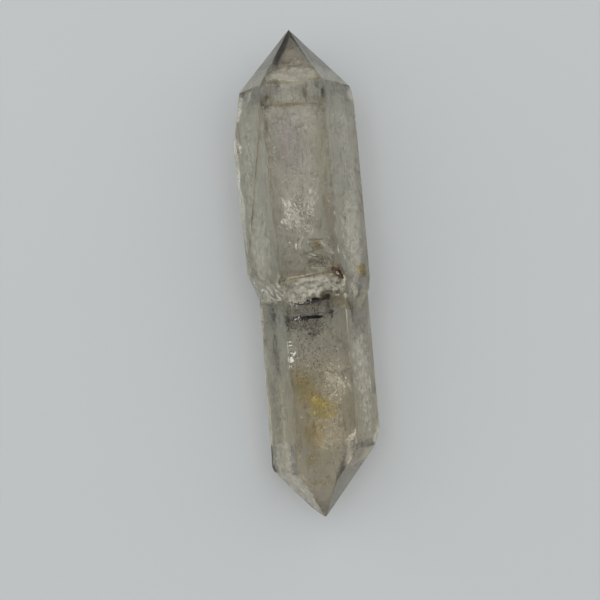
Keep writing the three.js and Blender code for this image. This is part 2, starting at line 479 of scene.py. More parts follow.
    def _depth(self, place: Vector, normal: Vector, reach: float) -> float:
        """How far a point of a face is sunk.

        Args:
            place: Where the point is, in millimetres.
            normal: The face's outward direction.
            reach: The distance to the nearest sharp edge, in millimetres.

        Returns:
            The depth in millimetres, never less than nothing.
        """
        fade = smooth_step(0.0, self.crease_fade, reach)
        kind = self._kind(place, normal)
        if kind is Growth.POINT:
            ripples = noise.noise(place * 0.9) + 0.4 * noise.noise(place * 2.1)
            return fade * self.point_depth * max(0.0, ripples)
        if kind is Growth.SHOULDER:
            lumps = noise.voronoi(place * 1.1)[0][0]
            return fade * self.shoulder_depth * max(0.0, lumps - 0.25 + 0.3 * noise.noise(place * 2.0))
        lines = noise.noise(Vector((place.x * 0.4, place.y * 2.6, place.z * 0.4)))
        hills = noise.voronoi(Vector((place.x * 1.1, place.y * 0.6, place.z * 1.1)))[0][0]
        fine = noise.noise(place * 1.7)
        return fade * self.prism_depth * max(0.0, hills - 0.32 + 0.35 * lines + 0.45 * fine)


@dataclass(frozen=True)
class FlakeFinish:
    """The finish of one kind of flake: two shades that noise mixes, and how it shines."""

    name: str
    dark: tuple[int, int, int]
    pale: tuple[int, int, int]
    roughness: float = 0.5
    metallic: float = 0.0
    specular: float = 0.5
    grain: float = 1.4

    def build(self) -> bpy.types.Material:
        """Makes the material, mottled in colour and roughness, with a fine bump."""
        material = bpy.data.materials.new(self.name)
        material.use_nodes = True
        board = NodeBoard(material.node_tree)
        shader = material.node_tree.nodes["Principled BSDF"]
        place = board.add("ShaderNodeTexCoord").outputs["Object"]
        mottle = board.add(
            "ShaderNodeTexNoise", {"Vector": place, "Scale": self.grain / MM, "Detail": 4.0, "Roughness": 0.6}
        ).outputs["Fac"]
        spread = board.add(
            "ShaderNodeMapRange", {"Value": mottle, "From Min": 0.35, "From Max": 0.65}
        ).outputs[0]
        shade = board.add("ShaderNodeMix", data_type="RGBA")
        board.feed(shade.inputs[0], spread)
        board.feed(shade.inputs[6], linear(self.dark))
        board.feed(shade.inputs[7], linear(self.pale))
        board.feed(shader.inputs["Base Color"], shade.outputs[2])
        board.feed(shader.inputs["Roughness"], board.math("MULTIPLY_ADD", mottle, 0.3, self.roughness - 0.15))
        bump = board.add("ShaderNodeBump", {"Height": mottle, "Strength": 0.6, "Distance": 0.02 * MM})
        board.feed(shader.inputs["Normal"], bump.outputs[0])
        shader.inputs["Metallic"].default_value = self.metallic
        shader.inputs["Specular IOR Level"].default_value = self.specular
        return material


@dataclass(frozen=True)
class Lot:
    """What one ground asks of its flakes, in metres and radians, as the Geometry Nodes read it."""

    amount: float
    smallest: float
    largest: float
    stretch: float
    scatter: float
    cut: float
    patch: float
    fan: float
    heading: tuple[float, float, float]


@dataclass(frozen=True)
class Sheet:
    """A curved patch in or on the stone that flakes lie on, in millimetres.

    along and across are its two half sides. The flakes point along it, and cut is how much of it stays bare.
    """

    centre: tuple[float, float, float]
    along: tuple[float, float, float]
    across: tuple[float, float, float]
    flakes: int
    size: tuple[float, float] = (0.04, 0.10)
    stretch: float = 2.0
    bend: float = 0.0
    scatter: float = 0.12
    cut: float = 0.0
    patch: float = 1.0
    fan: float = 60.0

    def lot(self) -> Lot:
        """What the sheet asks of its flakes, in metres and radians."""
        area = 4.0 * Vector(self.along).cross(Vector(self.across)).length * MM * MM
        return Lot(
            self.flakes / area,
            self.size[0] * MM,
            self.size[1] * MM,
            self.stretch,
            self.scatter * MM,
            self.cut,
            1.0 / (self.patch * MM),
            math.radians(self.fan),
            tuple(Vector(self.along).normalized()),
        )


@dataclass(frozen=True)
class FrostPatch:
    """A patch of the stone's surface that flakes lie on, inside an upright ellipsoid, in millimetres.

    The flakes point along the ellipsoid's own Y, which turn swings round, and cut is how much of the patch
    stays bare. Where facing is given, only surface that looks that way is covered.
    """

    centre: tuple[float, float, float]
    radii: tuple[float, float, float]
    flakes: int
    cut: float = 0.46
    patch: float = 0.5
    size: tuple[float, float] = (0.03, 0.07)
    stretch: float = 1.6
    fan: float = 60.0
    turn: float = 0.0
    facing: tuple[float, float, float] = (0.0, 0.0, 0.0)
    sink: float = 0.002

    def reach(self, places: np.ndarray, normals: np.ndarray) -> np.ndarray:
        """How far each place is from the centre, as a share of the ellipsoid's radius there.

        Args:
            places: The surface's points, in millimetres.
            normals: Which way it looks at each of them.

        Returns:
            The shares, each more than 1 where the point isn't on the patch.
        """
        away = places - np.array(self.centre)
        cos, sin = math.cos(math.radians(self.turn)), math.sin(math.radians(self.turn))
        east = away[:, 0] * cos + away[:, 1] * sin
        north = away[:, 1] * cos - away[:, 0] * sin
        turned = np.stack((east, north, away[:, 2]), axis=1)
        shares = np.linalg.norm(turned / np.array(self.radii), axis=1)
        wanted = Vector(self.facing)
        if wanted.length > 0.0:
            shares[normals @ np.array(wanted.normalized()) < FACES_ALIKE] = 2.0
        return shares

    def lot(self, area: float) -> Lot:
        """What the patch asks of its flakes, in metres and radians.

        Args:
            area: The patch's area in square metres.

        Returns:
            The settings.
        """
        turn = math.radians(self.turn)
        return Lot(
            self.flakes / max(area, 1e-9),
            self.size[0] * MM,
            self.size[1] * MM,
            self.stretch,
            0.0,
            self.cut,
            1.0 / (self.patch * MM),
            math.radians(self.fan),
            (-math.sin(turn), math.cos(turn), 0.0),
        )


def pressed(
    centre: tuple[float, float, float],
    along: tuple[float, float, float],
    across: tuple[float, float, float],
    flakes: int,
    size: tuple[float, float] = (0.02, 0.05),
    stretch: float = 1.4,
    cut: float = 0.0,
    patch: float = 1.0,
    fan: float = 60.0,
) -> Sheet:
    """A sheet that is neither bent nor scattered, for flakes that are pressed onto the surface."""
    return Sheet(centre, along, across, flakes, size, stretch, 0.0, 0.0, cut, patch, fan)


def on_front(
    height: float, place: tuple[float, float], radii: tuple[float, float], *rest: object
) -> FrostPatch:
    """A patch on one of the two level front faces.

    Args:
        height: The face's height.
        place: The patch's centre on it.
        radii: The patch's radii on it.
        *rest: What else the patch takes, in its own order.

    Returns:
        The patch, one millimetre deep either way.
    """
    return FrostPatch((*place, height), (*radii, 1.0), *rest)


class FlakeTree:
    """The Geometry Nodes that scatter flakes over sheets, as their attributes say."""

    SETTINGS = ("amount", "smallest", "largest", "stretch", "scatter", "cut", "patch", "fan")

    def __init__(self, material: bpy.types.Material) -> None:
        """Builds the tree for one finish."""
        self.tree = bpy.data.node_groups.new(f"flakes_{material.name}", "GeometryNodeTree")
        face = self.tree.interface
        face.new_socket("Sheets", in_out="INPUT", socket_type="NodeSocketGeometry")
        self.thinness = face.new_socket("Thinness", in_out="INPUT", socket_type="NodeSocketFloat")
        self.seed = face.new_socket("Seed", in_out="INPUT", socket_type="NodeSocketInt")
        self.tilt = face.new_socket("Tilt", in_out="INPUT", socket_type="NodeSocketFloat")
        self.stone = face.new_socket("Stone", in_out="INPUT", socket_type="NodeSocketObject")
        self.depth = face.new_socket("Depth", in_out="INPUT", socket_type="NodeSocketFloat")
        self.pressed = face.new_socket("Pressed", in_out="INPUT", socket_type="NodeSocketBool")
        face.new_socket("Flakes", in_out="OUTPUT", socket_type="NodeSocketGeometry")
        self.board = NodeBoard(self.tree)
        self.entry = self.tree.nodes.new("NodeGroupInput")
        exit_node = self.tree.nodes.new("NodeGroupOutput")
        realized = self.board.add("GeometryNodeRealizeInstances", {0: self._instances()}).outputs[0]
        dressed = self.board.add("GeometryNodeSetMaterial", {"Geometry": realized, "Material": material})
        self.board.feed(exit_node.inputs[0], dressed.outputs[0])

    def _setting(self, name: str, kind: str = "FLOAT") -> bpy.types.NodeSocket:
        """A named attribute of the sheets."""
        node = self.board.add("GeometryNodeInputNamedAttribute", {"Name": name}, data_type=kind)
        return node.outputs["Attribute"]

    def _random(self, low: object, high: object, shift: int, kind: str = "FLOAT") -> bpy.types.NodeSocket:
        """A random number or vector for each flake, of its own for each shift."""
        node = self.board.add("FunctionNodeRandomValue", data_type=kind)
        seed = self.board.math("ADD", self.entry.outputs["Seed"], float(shift))
        first, second = (0, 1) if kind == "FLOAT_VECTOR" else (2, 3)
        self.board.feed(node.inputs[first], low)
        self.board.feed(node.inputs[second], high)
        self.board.feed(node.inputs["Seed"], seed)
        return node.outputs[0] if kind == "FLOAT_VECTOR" else node.outputs[1]

    def _instances(self) -> bpy.types.NodeSocket:
        """Thin flakes, sized, stretched and turned as the sheets' attributes say."""
        board = self.board
        place = board.add("GeometryNodeInputPosition").outputs[0]
        cloud = board.add(
            "ShaderNodeTexNoise", {"Vector": place, "Scale": self._setting("patch"), "Detail": 3.0}
        ).outputs[0]
        cut = self._setting("cut")
        body = board.math("SUBTRACT", cloud, self._setting("rim"))
        covered = board.add(
            "ShaderNodeMapRange",
            {"Value": body, "From Min": cut, "From Max": board.math("ADD", cut, COVER_RAMP)},
        ).outputs[0]
        density = board.math("MULTIPLY", self._setting("amount"), covered)
        points = board.add(
            "GeometryNodeDistributePointsOnFaces",
            {"Mesh": self.entry.outputs["Sheets"], "Density": density, "Seed": self.entry.outputs["Seed"]},
        )
        away = board.add("ShaderNodeVectorMath", operation="SCALE")
        board.feed(away.inputs[0], self._random((-1.0, -1.0, -1.0), (1.0, 1.0, 1.0), 1, "FLOAT_VECTOR"))
        board.feed(away.inputs["Scale"], self._setting("scatter"))
        loose = board.add(
            "GeometryNodeSetPosition", {"Geometry": points.outputs[0], "Offset": away.outputs[0]}
        )
        highest = board.math("MULTIPLY", self.entry.outputs["Depth"], -1.0)
        too_near = board.math("GREATER_THAN", self._height(place), highest)
        kept = board.add("GeometryNodeDeleteGeometry", {"Geometry": loose.outputs[0], "Selection": too_near})
        pressed = board.add(
            "GeometryNodeSetPosition",
            {
                0: kept.outputs[0],
                "Selection": self.entry.outputs["Pressed"],
                "Position": self._nearest(place),
            },
        )

        swing = self._setting("fan")
        turn = self._random(board.math("MULTIPLY", swing, -1.0), swing, 2)
        lean = self.entry.outputs["Tilt"]
        tilt = self._random(board.math("MULTIPLY", lean, -1.0), lean, 3)
        headed = board.add(
            "FunctionNodeAlignRotationToVector",
            {"Rotation": points.outputs["Rotation"], "Vector": self._setting("heading", "FLOAT_VECTOR")},
            axis="X",
            pivot_axis="Z",
        ).outputs[0]
        spin = board.add("ShaderNodeCombineXYZ", {0: tilt, 1: 0.0, 2: turn}).outputs[0]
        spin = board.add("FunctionNodeEulerToRotation", {0: spin}).outputs[0]
        turned = board.add(
            "FunctionNodeRotateRotation", {"Rotation": headed, "Rotate By": spin}, rotation_space="LOCAL"
        ).outputs[0]

        width = self._random(self._setting("smallest"), self._setting("largest"), 4)
        length = board.math("MULTIPLY", width, self._setting("stretch"))
        thick = board.math("MULTIPLY", width, self.entry.outputs["Thinness"])
        scale = board.add("ShaderNodeCombineXYZ", {0: length, 1: width, 2: thick}).outputs[0]
        flake = board.add(
            "GeometryNodeMeshCone", {"Vertices": 3, "Radius Top": 0.0, "Radius Bottom": 1.2, "Depth": 1.0}
        ).outputs[0]
        return board.add(
            "GeometryNodeInstanceOnPoints",
            {"Points": pressed.outputs[0], "Instance": flake, "Rotation": turned, "Scale": scale},
        ).outputs[0]

    def _body(self) -> bpy.types.NodeSocket:
        """The stone's own mesh."""
        info = self.board.add("GeometryNodeObjectInfo", {"Object": self.entry.outputs["Stone"]})
        return info.outputs["Geometry"]

    def _nearest(self, place: bpy.types.NodeSocket) -> bpy.types.NodeSocket:
        """The point of the stone's surface that is nearest to a place."""
        near = self.board.add("GeometryNodeProximity", {0: self._body(), "Sample Position": place})
        return near.outputs["Position"]

    def _height(self, place: bpy.types.NodeSocket) -> bpy.types.NodeSocket:
        """How far a place is above the stone's surface, less than nothing inside it."""
        board = self.board
        body = self._body()
        near = self._nearest(place)
        facing = board.add("GeometryNodeInputNormal").outputs[0]
        normal = board.add(
            "GeometryNodeSampleNearestSurface",
            {"Mesh": body, "Value": facing, "Sample Position": place},
            data_type="FLOAT_VECTOR",
        ).outputs["Value"]
        away = board.add("ShaderNodeVectorMath", {0: place, 1: near}, operation="SUBTRACT").outputs[0]
        rise = board.add("ShaderNodeVectorMath", {0: away, 1: normal}, operation="DOT_PRODUCT")
        return rise.outputs["Value"]


@dataclass
class Flakes:
    """All the flakes of one kind, scattered over a ground that the kinds below lay out."""

    name: str
    finish: FlakeFinish
    stone: bpy.types.Object
    seed: int
    thinness: float = 0.22
    tilt: float = 0.6
    depth: float = 0.03
    pressed: bool = False

    def build(self) -> bpy.types.Object:
        """Scatters the flakes over the ground and dresses them.

        Returns:
            The flakes as one plain mesh that rides with the stone.
        """
        tree = FlakeTree(self.finish.build())
        base = bpy.data.objects.new(f"{self.name}_ground", self._ground())
        bpy.context.collection.objects.link(base)
        modifier = base.modifiers.new("flakes", "NODES")
        modifier.node_group = tree.tree
        modifier[tree.thinness.identifier] = self.thinness
        modifier[tree.seed.identifier] = self.seed
        modifier[tree.tilt.identifier] = self.tilt
        modifier[tree.stone.identifier] = self.stone
        modifier[tree.depth.identifier] = self.depth * MM
        modifier[tree.pressed.identifier] = self.pressed
        graph = bpy.context.evaluated_depsgraph_get()
        data = bpy.data.meshes.new_from_object(base.evaluated_get(graph))
        bpy.data.objects.remove(base)
        for name in (*FlakeTree.SETTINGS, "rim", "heading"):
            if name in data.attributes:
                data.attributes.remove(data.attributes[name])
        self._keep_within(data)
        data.name = self.name
        flakes = bpy.data.objects.new(self.name, data)
        bpy.context.collection.objects.link(flakes)
        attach(flakes, "root")
        return flakes

    def _keep_within(self, data: bpy.types.Mesh) -> None:
        """Moves the flakes' corners that stand out of the stone's own box back to its sides.

        Args:
            data: The flakes' mesh, in metres.
        """
        corners, places = (np.empty(3 * len(mesh.vertices)) for mesh in (self.stone.data, data))
        self.stone.data.vertices.foreach_get("co", corners)
        data.vertices.foreach_get("co", places)
        corners = corners.reshape(-1, 3)
        places = np.clip(places.reshape(-1, 3), corners.min(axis=0), corners.max(axis=0))
        data.vertices.foreach_set("co", places.ravel())
        data.update()

    def _ground(self) -> bpy.types.Mesh:
        """The mesh that the flakes are scattered over."""
        raise NotImplementedError

    def _laid(self, lots: list[tuple[Lot, list, list, list[float]]]) -> bpy.types.Mesh:
        """One mesh of several grounds, with what each one asks for in its attributes.

        Args:
            lots: For each ground what it asks for, its corners in metres, its faces and its corners' rims.

        Returns:
            The mesh.
        """
        places, faces, rims, headings = [], [], [], []
        values: dict[str, list[float]] = {name: [] for name in FlakeTree.SETTINGS}
        for lot, corners, rings, edges in lots:
            start = len(places)
            places += corners
            faces += [tuple(start + index for index in ring) for ring in rings]
            rims += edges
            headings += list(lot.heading) * len(corners)
            for name in FlakeTree.SETTINGS:
                values[name] += [getattr(lot, name)] * len(corners)
        mesh = bpy.data.meshes.new(self.name)
        mesh.from_pydata(places, [], faces)
        for name, row in values.items():
            mesh.attributes.new(name, "FLOAT", "POINT").data.foreach_set("value", row)
        mesh.attributes.new("rim", "FLOAT", "POINT").data.foreach_set("value", rims)
        mesh.attributes.new("heading", "FLOAT_VECTOR", "POINT").data.foreach_set("vector", headings)
        return mesh


@dataclass
class Inclusions(Flakes):
    """Flakes on curved sheets, inside the stone."""

    sheets: tuple[Sheet, ...] = ()
    steps: int = 16

    def _ground(self) -> bpy.types.Mesh:
        """The sheets as one mesh."""
        side = self.steps + 1
        cells = [(r * side + c, r * side + c + 1) for r in range(self.steps) for c in range(self.steps)]
        rings = [(first, second, second + side, first + side) for first, second in cells]
        rims = [RIM_LOSS * math.hypot(u, v) ** 4 for u, v in self._steps()]
        return self._laid([(sheet.lot(), self._bent_grid(sheet), rings, rims) for sheet in self.sheets])

    def _steps(self) -> list[tuple[float, float]]:
        """The places of a sheet's grid, from -1 to 1 along it and across it."""
        span = [2.0 * step / self.steps - 1.0 for step in range(self.steps + 1)]
        return [(u, v) for u in span for v in span]

    def _bent_grid(self, sheet: Sheet) -> list[Vector]:
        """The corners of one sheet's grid, bowed and a little rippled off its plane."""
        along, across, centre = Vector(sheet.along), Vector(sheet.across), Vector(sheet.centre)
        normal = along.cross(across).normalized()
        corners = []
        for u, v in self._steps():
            flat = centre + along * u + across * v
            bow = sheet.bend * (1.0 - 0.5 * (u * u + v * v))
            ripple = 0.25 * abs(sheet.bend) * noise.noise(flat * 0.6)
            corners.append((flat + normal * (bow + ripple)) * MM)
        return corners


@dataclass
class Pressed(Inclusions):
    """Flakes on small sheets, each of them moved to the nearest point of the stone's surface."""

    tilt: float = 0.2
    depth: float = ANYWHERE
    pressed: bool = True


@dataclass
class Frost(Flakes):
    """Flakes that lie on the stone's own surface, as fine etching, soot and specks do."""

    tilt: float = 0.2
    depth: float = ANYWHERE
    patches: tuple[FrostPatch, ...] = ()

    def _ground(self) -> bpy.types.Mesh:
        """The patches of the stone's surface as one mesh, sunk a little into the stone."""
        data = self.stone.data
        places, normals = (np.empty(3 * len(data.vertices)) for _ in range(2))
        data.vertices.foreach_get("co", places)
        data.vertices.foreach_get("normal", normals)
        places, normals = places.reshape(-1, 3), normals.reshape(-1, 3)
        rings = np.empty(len(data.loops), dtype=int)
        data.loops.foreach_get("vertex_index", rings)
        rings = rings.reshape(-1, 3)
        lots = []
        for patch in self.patches:
            reach = patch.reach(places / MM, normals)
            wanted = rings[(reach[rings] < 1.0).all(axis=1)]
            used, faces = np.unique(wanted, return_inverse=True)
            sunk = places[used] - normals[used] * patch.sink * MM
            sides = sunk[faces.reshape(-1, 3)]
            spans = np.cross(sides[:, 1] - sides[:, 0], sides[:, 2] - sides[:, 0])
            area = np.linalg.norm(spans, axis=1).sum() / 2.0
            rims = RIM_LOSS * reach[used] ** 4
            lots.append((patch.lot(area), sunk.tolist(), faces.reshape(-1, 3).tolist(), rims.tolist()))
        return self._laid(lots)


@dataclass
class Studio:
    """The pale floor, the soft lights and the camera."""

    camera_over: tuple[float, float] = (-1.117, -3.487)
    camera_height: float = 167.2
    camera_turn: float = -4.38
    field_of_view: float = 28.07
    floor_size: float = 2400.0
    floor_drop: float = 0.05
    floor_colour: tuple[float, float, float] = (0.64, 0.66, 0.67)
    sky: tuple[float, float, float] = (0.30, 0.303, 0.30)

    def build(self) -> None:
        """Adds the floor, the lights, the sky and the camera."""
        self._floor()
        self._sky()
        self._softbox("top_softbox", (0.0, 250.0, 1300.0), 1600.0, 4.0)
        self._softbox("left_softbox", (-900.0, 300.0, 900.0), 1900.0, 7.6)
        self._softbox("right_softbox", (800.0, 500.0, 1000.0), 1900.0, 7.6)
        self._camera()
        bpy.context.scene.view_settings.view_transform = "Standard"

    def _floor(self) -> None:
        """A wide plain floor just under the stone."""
        mesh = bmesh.new()
        bmesh.ops.create_grid(mesh, x_segments=1, y_segments=1, size=self.floor_size * MM / 2.0)
        data = bpy.data.meshes.new("floor")
        mesh.to_mesh(data)
        mesh.free()
        data.transform(Matrix.Translation((0.0, 0.0, -self.floor_drop * MM)))
        material = bpy.data.materials.new("floor_paint")
        material.use_nodes = True
        board = NodeBoard(material.node_tree)
        shader = material.node_tree.nodes["Principled BSDF"]
        place = board.add("ShaderNodeTexCoord").outputs["Object"]
        cloud = board.add(
            "ShaderNodeTexNoise", {"Vector": place, "Scale": 12.0, "Detail": 2.0}
        ).outputs["Fac"]
        shade = board.add("ShaderNodeMix", data_type="RGBA")
        board.feed(shade.inputs[0], cloud)
        board.feed(shade.inputs[6], (*[part * 0.985 for part in self.floor_colour], 1.0))
        board.feed(shade.inputs[7], (*[part * 1.015 for part in self.floor_colour], 1.0))
        board.feed(shader.inputs["Base Color"], shade.outputs[2])
        shader.inputs["Roughness"].default_value = 0.9
        shader.inputs["Specular IOR Level"].default_value = 0.1
        data.materials.append(material)
        floor = bpy.data.objects.new("floor", data)
        bpy.context.collection.objects.link(floor)

    def _sky(self) -> None:
        """A dim even light from all round."""
        world = bpy.data.worlds.new("studio")
        world.use_nodes = True
        world.node_tree.nodes["Background"].inputs["Color"].default_value = (*self.sky, 1.0)
        bpy.context.scene.world = world

    def _softbox(self, name: str, place: tuple[float, float, float], size: float, power: float) -> None:
        """A square area light that faces the stone.

        Args:
            name: The light's name.
            place: Where it hangs, in millimetres.
            size: Its side, in millimetres.
            power: Its power in watts.
        """
        data = bpy.data.lights.new(name, "AREA")
        data.size = size * MM
        data.energy = power
        light = bpy.data.objects.new(name, data)
        light.location = Vector(place) * MM
        light.rotation_euler = (-Vector(place)).to_track_quat("-Z", "Y").to_euler()
        bpy.context.collection.objects.link(light)

    def _camera(self) -> None:
        """The camera, straight above the stone."""
        data = bpy.data.cameras.new("camera")
        data.sensor_width = 36.0
        data.sensor_fit = "HORIZONTAL"
        data.angle = math.radians(self.field_of_view)
        data.clip_start = 0.005
        data.clip_end = 20.0
        camera = bpy.data.objects.new("camera", data)
        camera.location = Vector((*self.camera_over, self.camera_height)) * MM
        camera.rotation_euler = Euler((0.0, 0.0, math.radians(self.camera_turn)))
        bpy.context.collection.objects.link(camera)
        bpy.context.scene.camera = camera


VEIL = FlakeFinish("veil_white", (214, 212, 203), (252, 251, 246), roughness=0.34, metallic=1.0)
FROST = FlakeFinish("frosted_white", (184, 178, 162), (238, 233, 218), roughness=0.6)
GLINT = FlakeFinish("crack_glint", (206, 205, 198), (252, 252, 248), roughness=0.24, metallic=1.0)
# Pure white diffuse flakes: a painted glint where growth steps catch the light.
PAINTED_GLINT = FlakeFinish("painted_glint_step", (236, 235, 228), (255, 255, 252), roughness=0.3)
FILM = FlakeFinish("dark_film", (8, 8, 8), (40, 40, 38), roughness=0.7, specular=0.05)
SPECK = FlakeFinish("brown_speck", (44, 39, 31), (104, 96, 80), roughness=0.6, specular=0.1)
RUST = FlakeFinish("iron_rust", (42, 24, 8), (126, 84, 30), roughness=0.7)
OCHRE = FlakeFinish("ochre_stain", (150, 122, 50), (228, 204, 106), roughness=0.6, metallic=0.7)

# White veils: the feathery patch above the shoulder, the pale wedge beside it, and the shoulder itself.
FEATHERS = (
    Sheet((-1.6, 8.3, 13.2), (0.9, -1.5, 0.1), (0.7, 0.4, -0.1),
        130, (0.025, 0.055), 8.0, 0.1, 0.25, 0.34, 0.4, 14),
    Sheet((-1.4, 6.6, 13.1), (0.9, -1.0, 0.1), (1.0, 0.7, 0.1),
        150, (0.025, 0.055), 6.0, 0.1, 0.25, 0.34, 0.4, 24),
    Sheet((1.1, 9.1, 13.2), (0.95, 2.0, 0.1), (0.7, -0.3, 0.1),
        150, (0.025, 0.055), 8.0, 0.1, 0.25, 0.34, 0.5, 12),
    Sheet((0.4, 5.3, 13.2), (1.0, -0.6, 0.1), (0.6, 0.9, 0.1), 240, (0.025, 0.06), 3.0, 0.1, 0.25, 0.42, 0.3),
    Sheet((-0.1, 10.5, 12.4), (0.3, 4.6, 0.1), (2.6, 0.0, 0.3), 3000, (0.025, 0.06), 1.8, 0.2, 0.6, 0.4, 1.1),
    Sheet((0.0, 20.5, 12.6), (0.0, 4.0, 0.0), (3.8, 0.0, 0.0),
        5000, (0.026, 0.058), 1.6, 0.1, 0.6, 0.36, 0.8),
    Sheet((2.85, 3.0, 13.6), (0.8, -1.0, -0.1), (0.5, 0.45, 0.1),
        500, (0.02, 0.05), 1.8, 0.1, 0.15, 0.44, 0.25, 30),
    Sheet((1.4, 4.1, 13.5), (0.9, 0.0, 0.1), (0.0, 0.06, 0.1),
        160, (0.02, 0.04), 7.0, 0.1, 0.08, 0.0, 1.0, 12),
    Sheet((0.6, 26.9, 9.8), (1.3, 0.1, 0.2), (0.1, 0.7, -0.4), 300, (0.02, 0.05), 2.0, 0.2, 0.3, 0.4, 0.8),
    Sheet((0.3, 25.3, 12.2), (3.6, 0.2, 0.0), (0.0, 1.1, 0.0), 4200, (0.025, 0.06), 2.0, 0.0, 0.3, 0.16, 0.8),
    Sheet((5.0, 24.7, 9.6), (1.3, -0.9, 0.0), (0.3, 0.6, 0.0),
        700, (0.025, 0.05), 5.0, 0.0, 0.2, 0.34, 0.6, 10),
    Sheet((-5.0, 23.6, 9.6), (1.2, 0.9, 0.0), (-0.3, 0.6, 0.0),
        700, (0.025, 0.05), 3.0, 0.0, 0.2, 0.34, 0.6, 20),
)
SHOULDER_CLOUDS = (
    Sheet((3.0, -1.7, 11.9), (0.5, -1.5, 0.0), (1.5, 0.1, 0.0),
        2600, (0.03, 0.07), 4.0, 0.1, 0.2, 0.3, 0.5, 22),
    Sheet((2.6, -0.6, 12.6), (0.5, -0.8, 0.0), (1.2, 0.1, 0.0),
        900, (0.03, 0.07), 4.0, 0.1, 0.2, 0.34, 0.5, 22),
    Sheet((-0.6, -1.6, 11.8), (0.2, -1.7, 0.0), (3.0, 0.1, 0.0),
        5200, (0.03, 0.065), 2.2, 0.1, 0.3, 0.28, 0.6),
    Sheet((-4.6, -2.2, 9.6), (0.3, -1.3, 0.0), (1.3, 0.1, 0.0),
        2600, (0.03, 0.065), 2.0, 0.1, 0.4, 0.24, 0.7, 70),
    Sheet((6.1, -1.9, 8.2), (0.2, -1.7, 0.0), (1.2, 0.0, 0.0),
        2600, (0.03, 0.065), 3.0, 0.2, 0.4, 0.26, 0.8, 30),
    Sheet((-5.5, 3.8, 8.9), (-0.2, 4.4, 0.0), (1.5, 0.0, 0.0),
        3600, (0.02, 0.055), 5.0, 0.1, 0.5, 0.32, 0.8, 12),
    Sheet((6.0, 4.1, 8.9), (-0.2, 4.6, 0.0), (1.5, 0.0, 0.0),
        4200, (0.02, 0.055), 5.0, 0.1, 0.5, 0.3, 0.8, 12),
    Sheet((4.05, -0.45, 13.0), (0.25, -0.4, 0.0), (0.15, 0.1, 0.0), 120, (0.03, 0.05), 1.6, 0.0, 0.05),
)
LOWER_CLOUDS = (
    Sheet((2.4, -15.2, 10.9), (0.3, -3.7, 0.1), (2.1, 0.2, 0.1),
        1500, (0.02, 0.06), 2.4, 0.1, 0.3, 0.42, 0.3),
    Sheet((3.0, -14.4, 11.0), (0.4, -0.9, 0.1), (0.8, 0.1, 0.1),
        260, (0.03, 0.06), 2.4, 0.1, 0.3, 0.4, 0.3, 40),
    Sheet((6.2, -11.9, 7.2), (0.4, -2.9, 0.0), (1.2, 0.0, 0.0),
        2400, (0.02, 0.06), 6.0, 0.1, 0.4, 0.32, 0.6, 10),
    Sheet((6.3, -18.5, 6.9), (0.3, -4.5, 0.0), (1.2, 0.0, 0.0),
        2200, (0.02, 0.05), 5.0, 0.1, 0.4, 0.36, 0.8, 12),
    Sheet((-4.8, -18.0, 7.0), (0.3, -6.6, 0.0), (1.4, 0.0, 0.0),
        6400, (0.025, 0.06), 4.0, 0.1, 0.4, 0.3, 0.9, 14),
    Sheet((-4.4, -24.1, 7.4), (0.4, -1.9, 0.0), (1.5, 0.1, 0.0),
        2600, (0.03, 0.065), 2.0, 0.1, 0.4, 0.18, 0.9),
    Sheet((-2.8, -28.0, 7.2), (1.2, -1.6, 0.0), (0.8, 0.6, 0.0),
        3200, (0.03, 0.06), 2.0, 0.0, 0.2, 0.14, 0.9),
    Sheet((1.2, -20.5, 10.8), (0.4, -4.0, 0.1), (2.4, 0.0, 0.2),
        1800, (0.025, 0.065), 2.0, 0.1, 0.3, 0.4, 0.5, 50),
    Sheet((0.3, -17.0, 11.1), (1.2, -0.8, 0.0), (0.3, 0.4, 0.0), 300, (0.03, 0.07), 2.0, 0.1, 0.2, 0.32, 0.4),
)
GENERAL_HAZE = (
    Sheet((0.0, 12.0, 9.6), (0.0, 12.0, 0.0), (4.6, 0.0, 1.0), 15000, (0.026, 0.058), 2.0, 1.0, 2.4, 0.4),
    Sheet((-5.9, 12.5, 8.6), (-0.2, 10.0, 0.0), (1.6, 0.0, 0.0),
        7000, (0.02, 0.046), 5.0, 0.1, 0.8, 0.36, 0.9, 10),
    Sheet((5.8, 12.5, 8.6), (-0.2, 10.0, 0.0), (1.6, 0.0, 0.0),
        6000, (0.02, 0.046), 5.0, 0.1, 0.8, 0.38, 0.9, 10),
    Sheet((0.9, -13.0, 8.0), (0.0, 10.0, 0.0), (4.2, 0.0, 0.9),
        8000, (0.022, 0.052), 2.0, 1.0, 2.0, 0.42, 1.1),
)

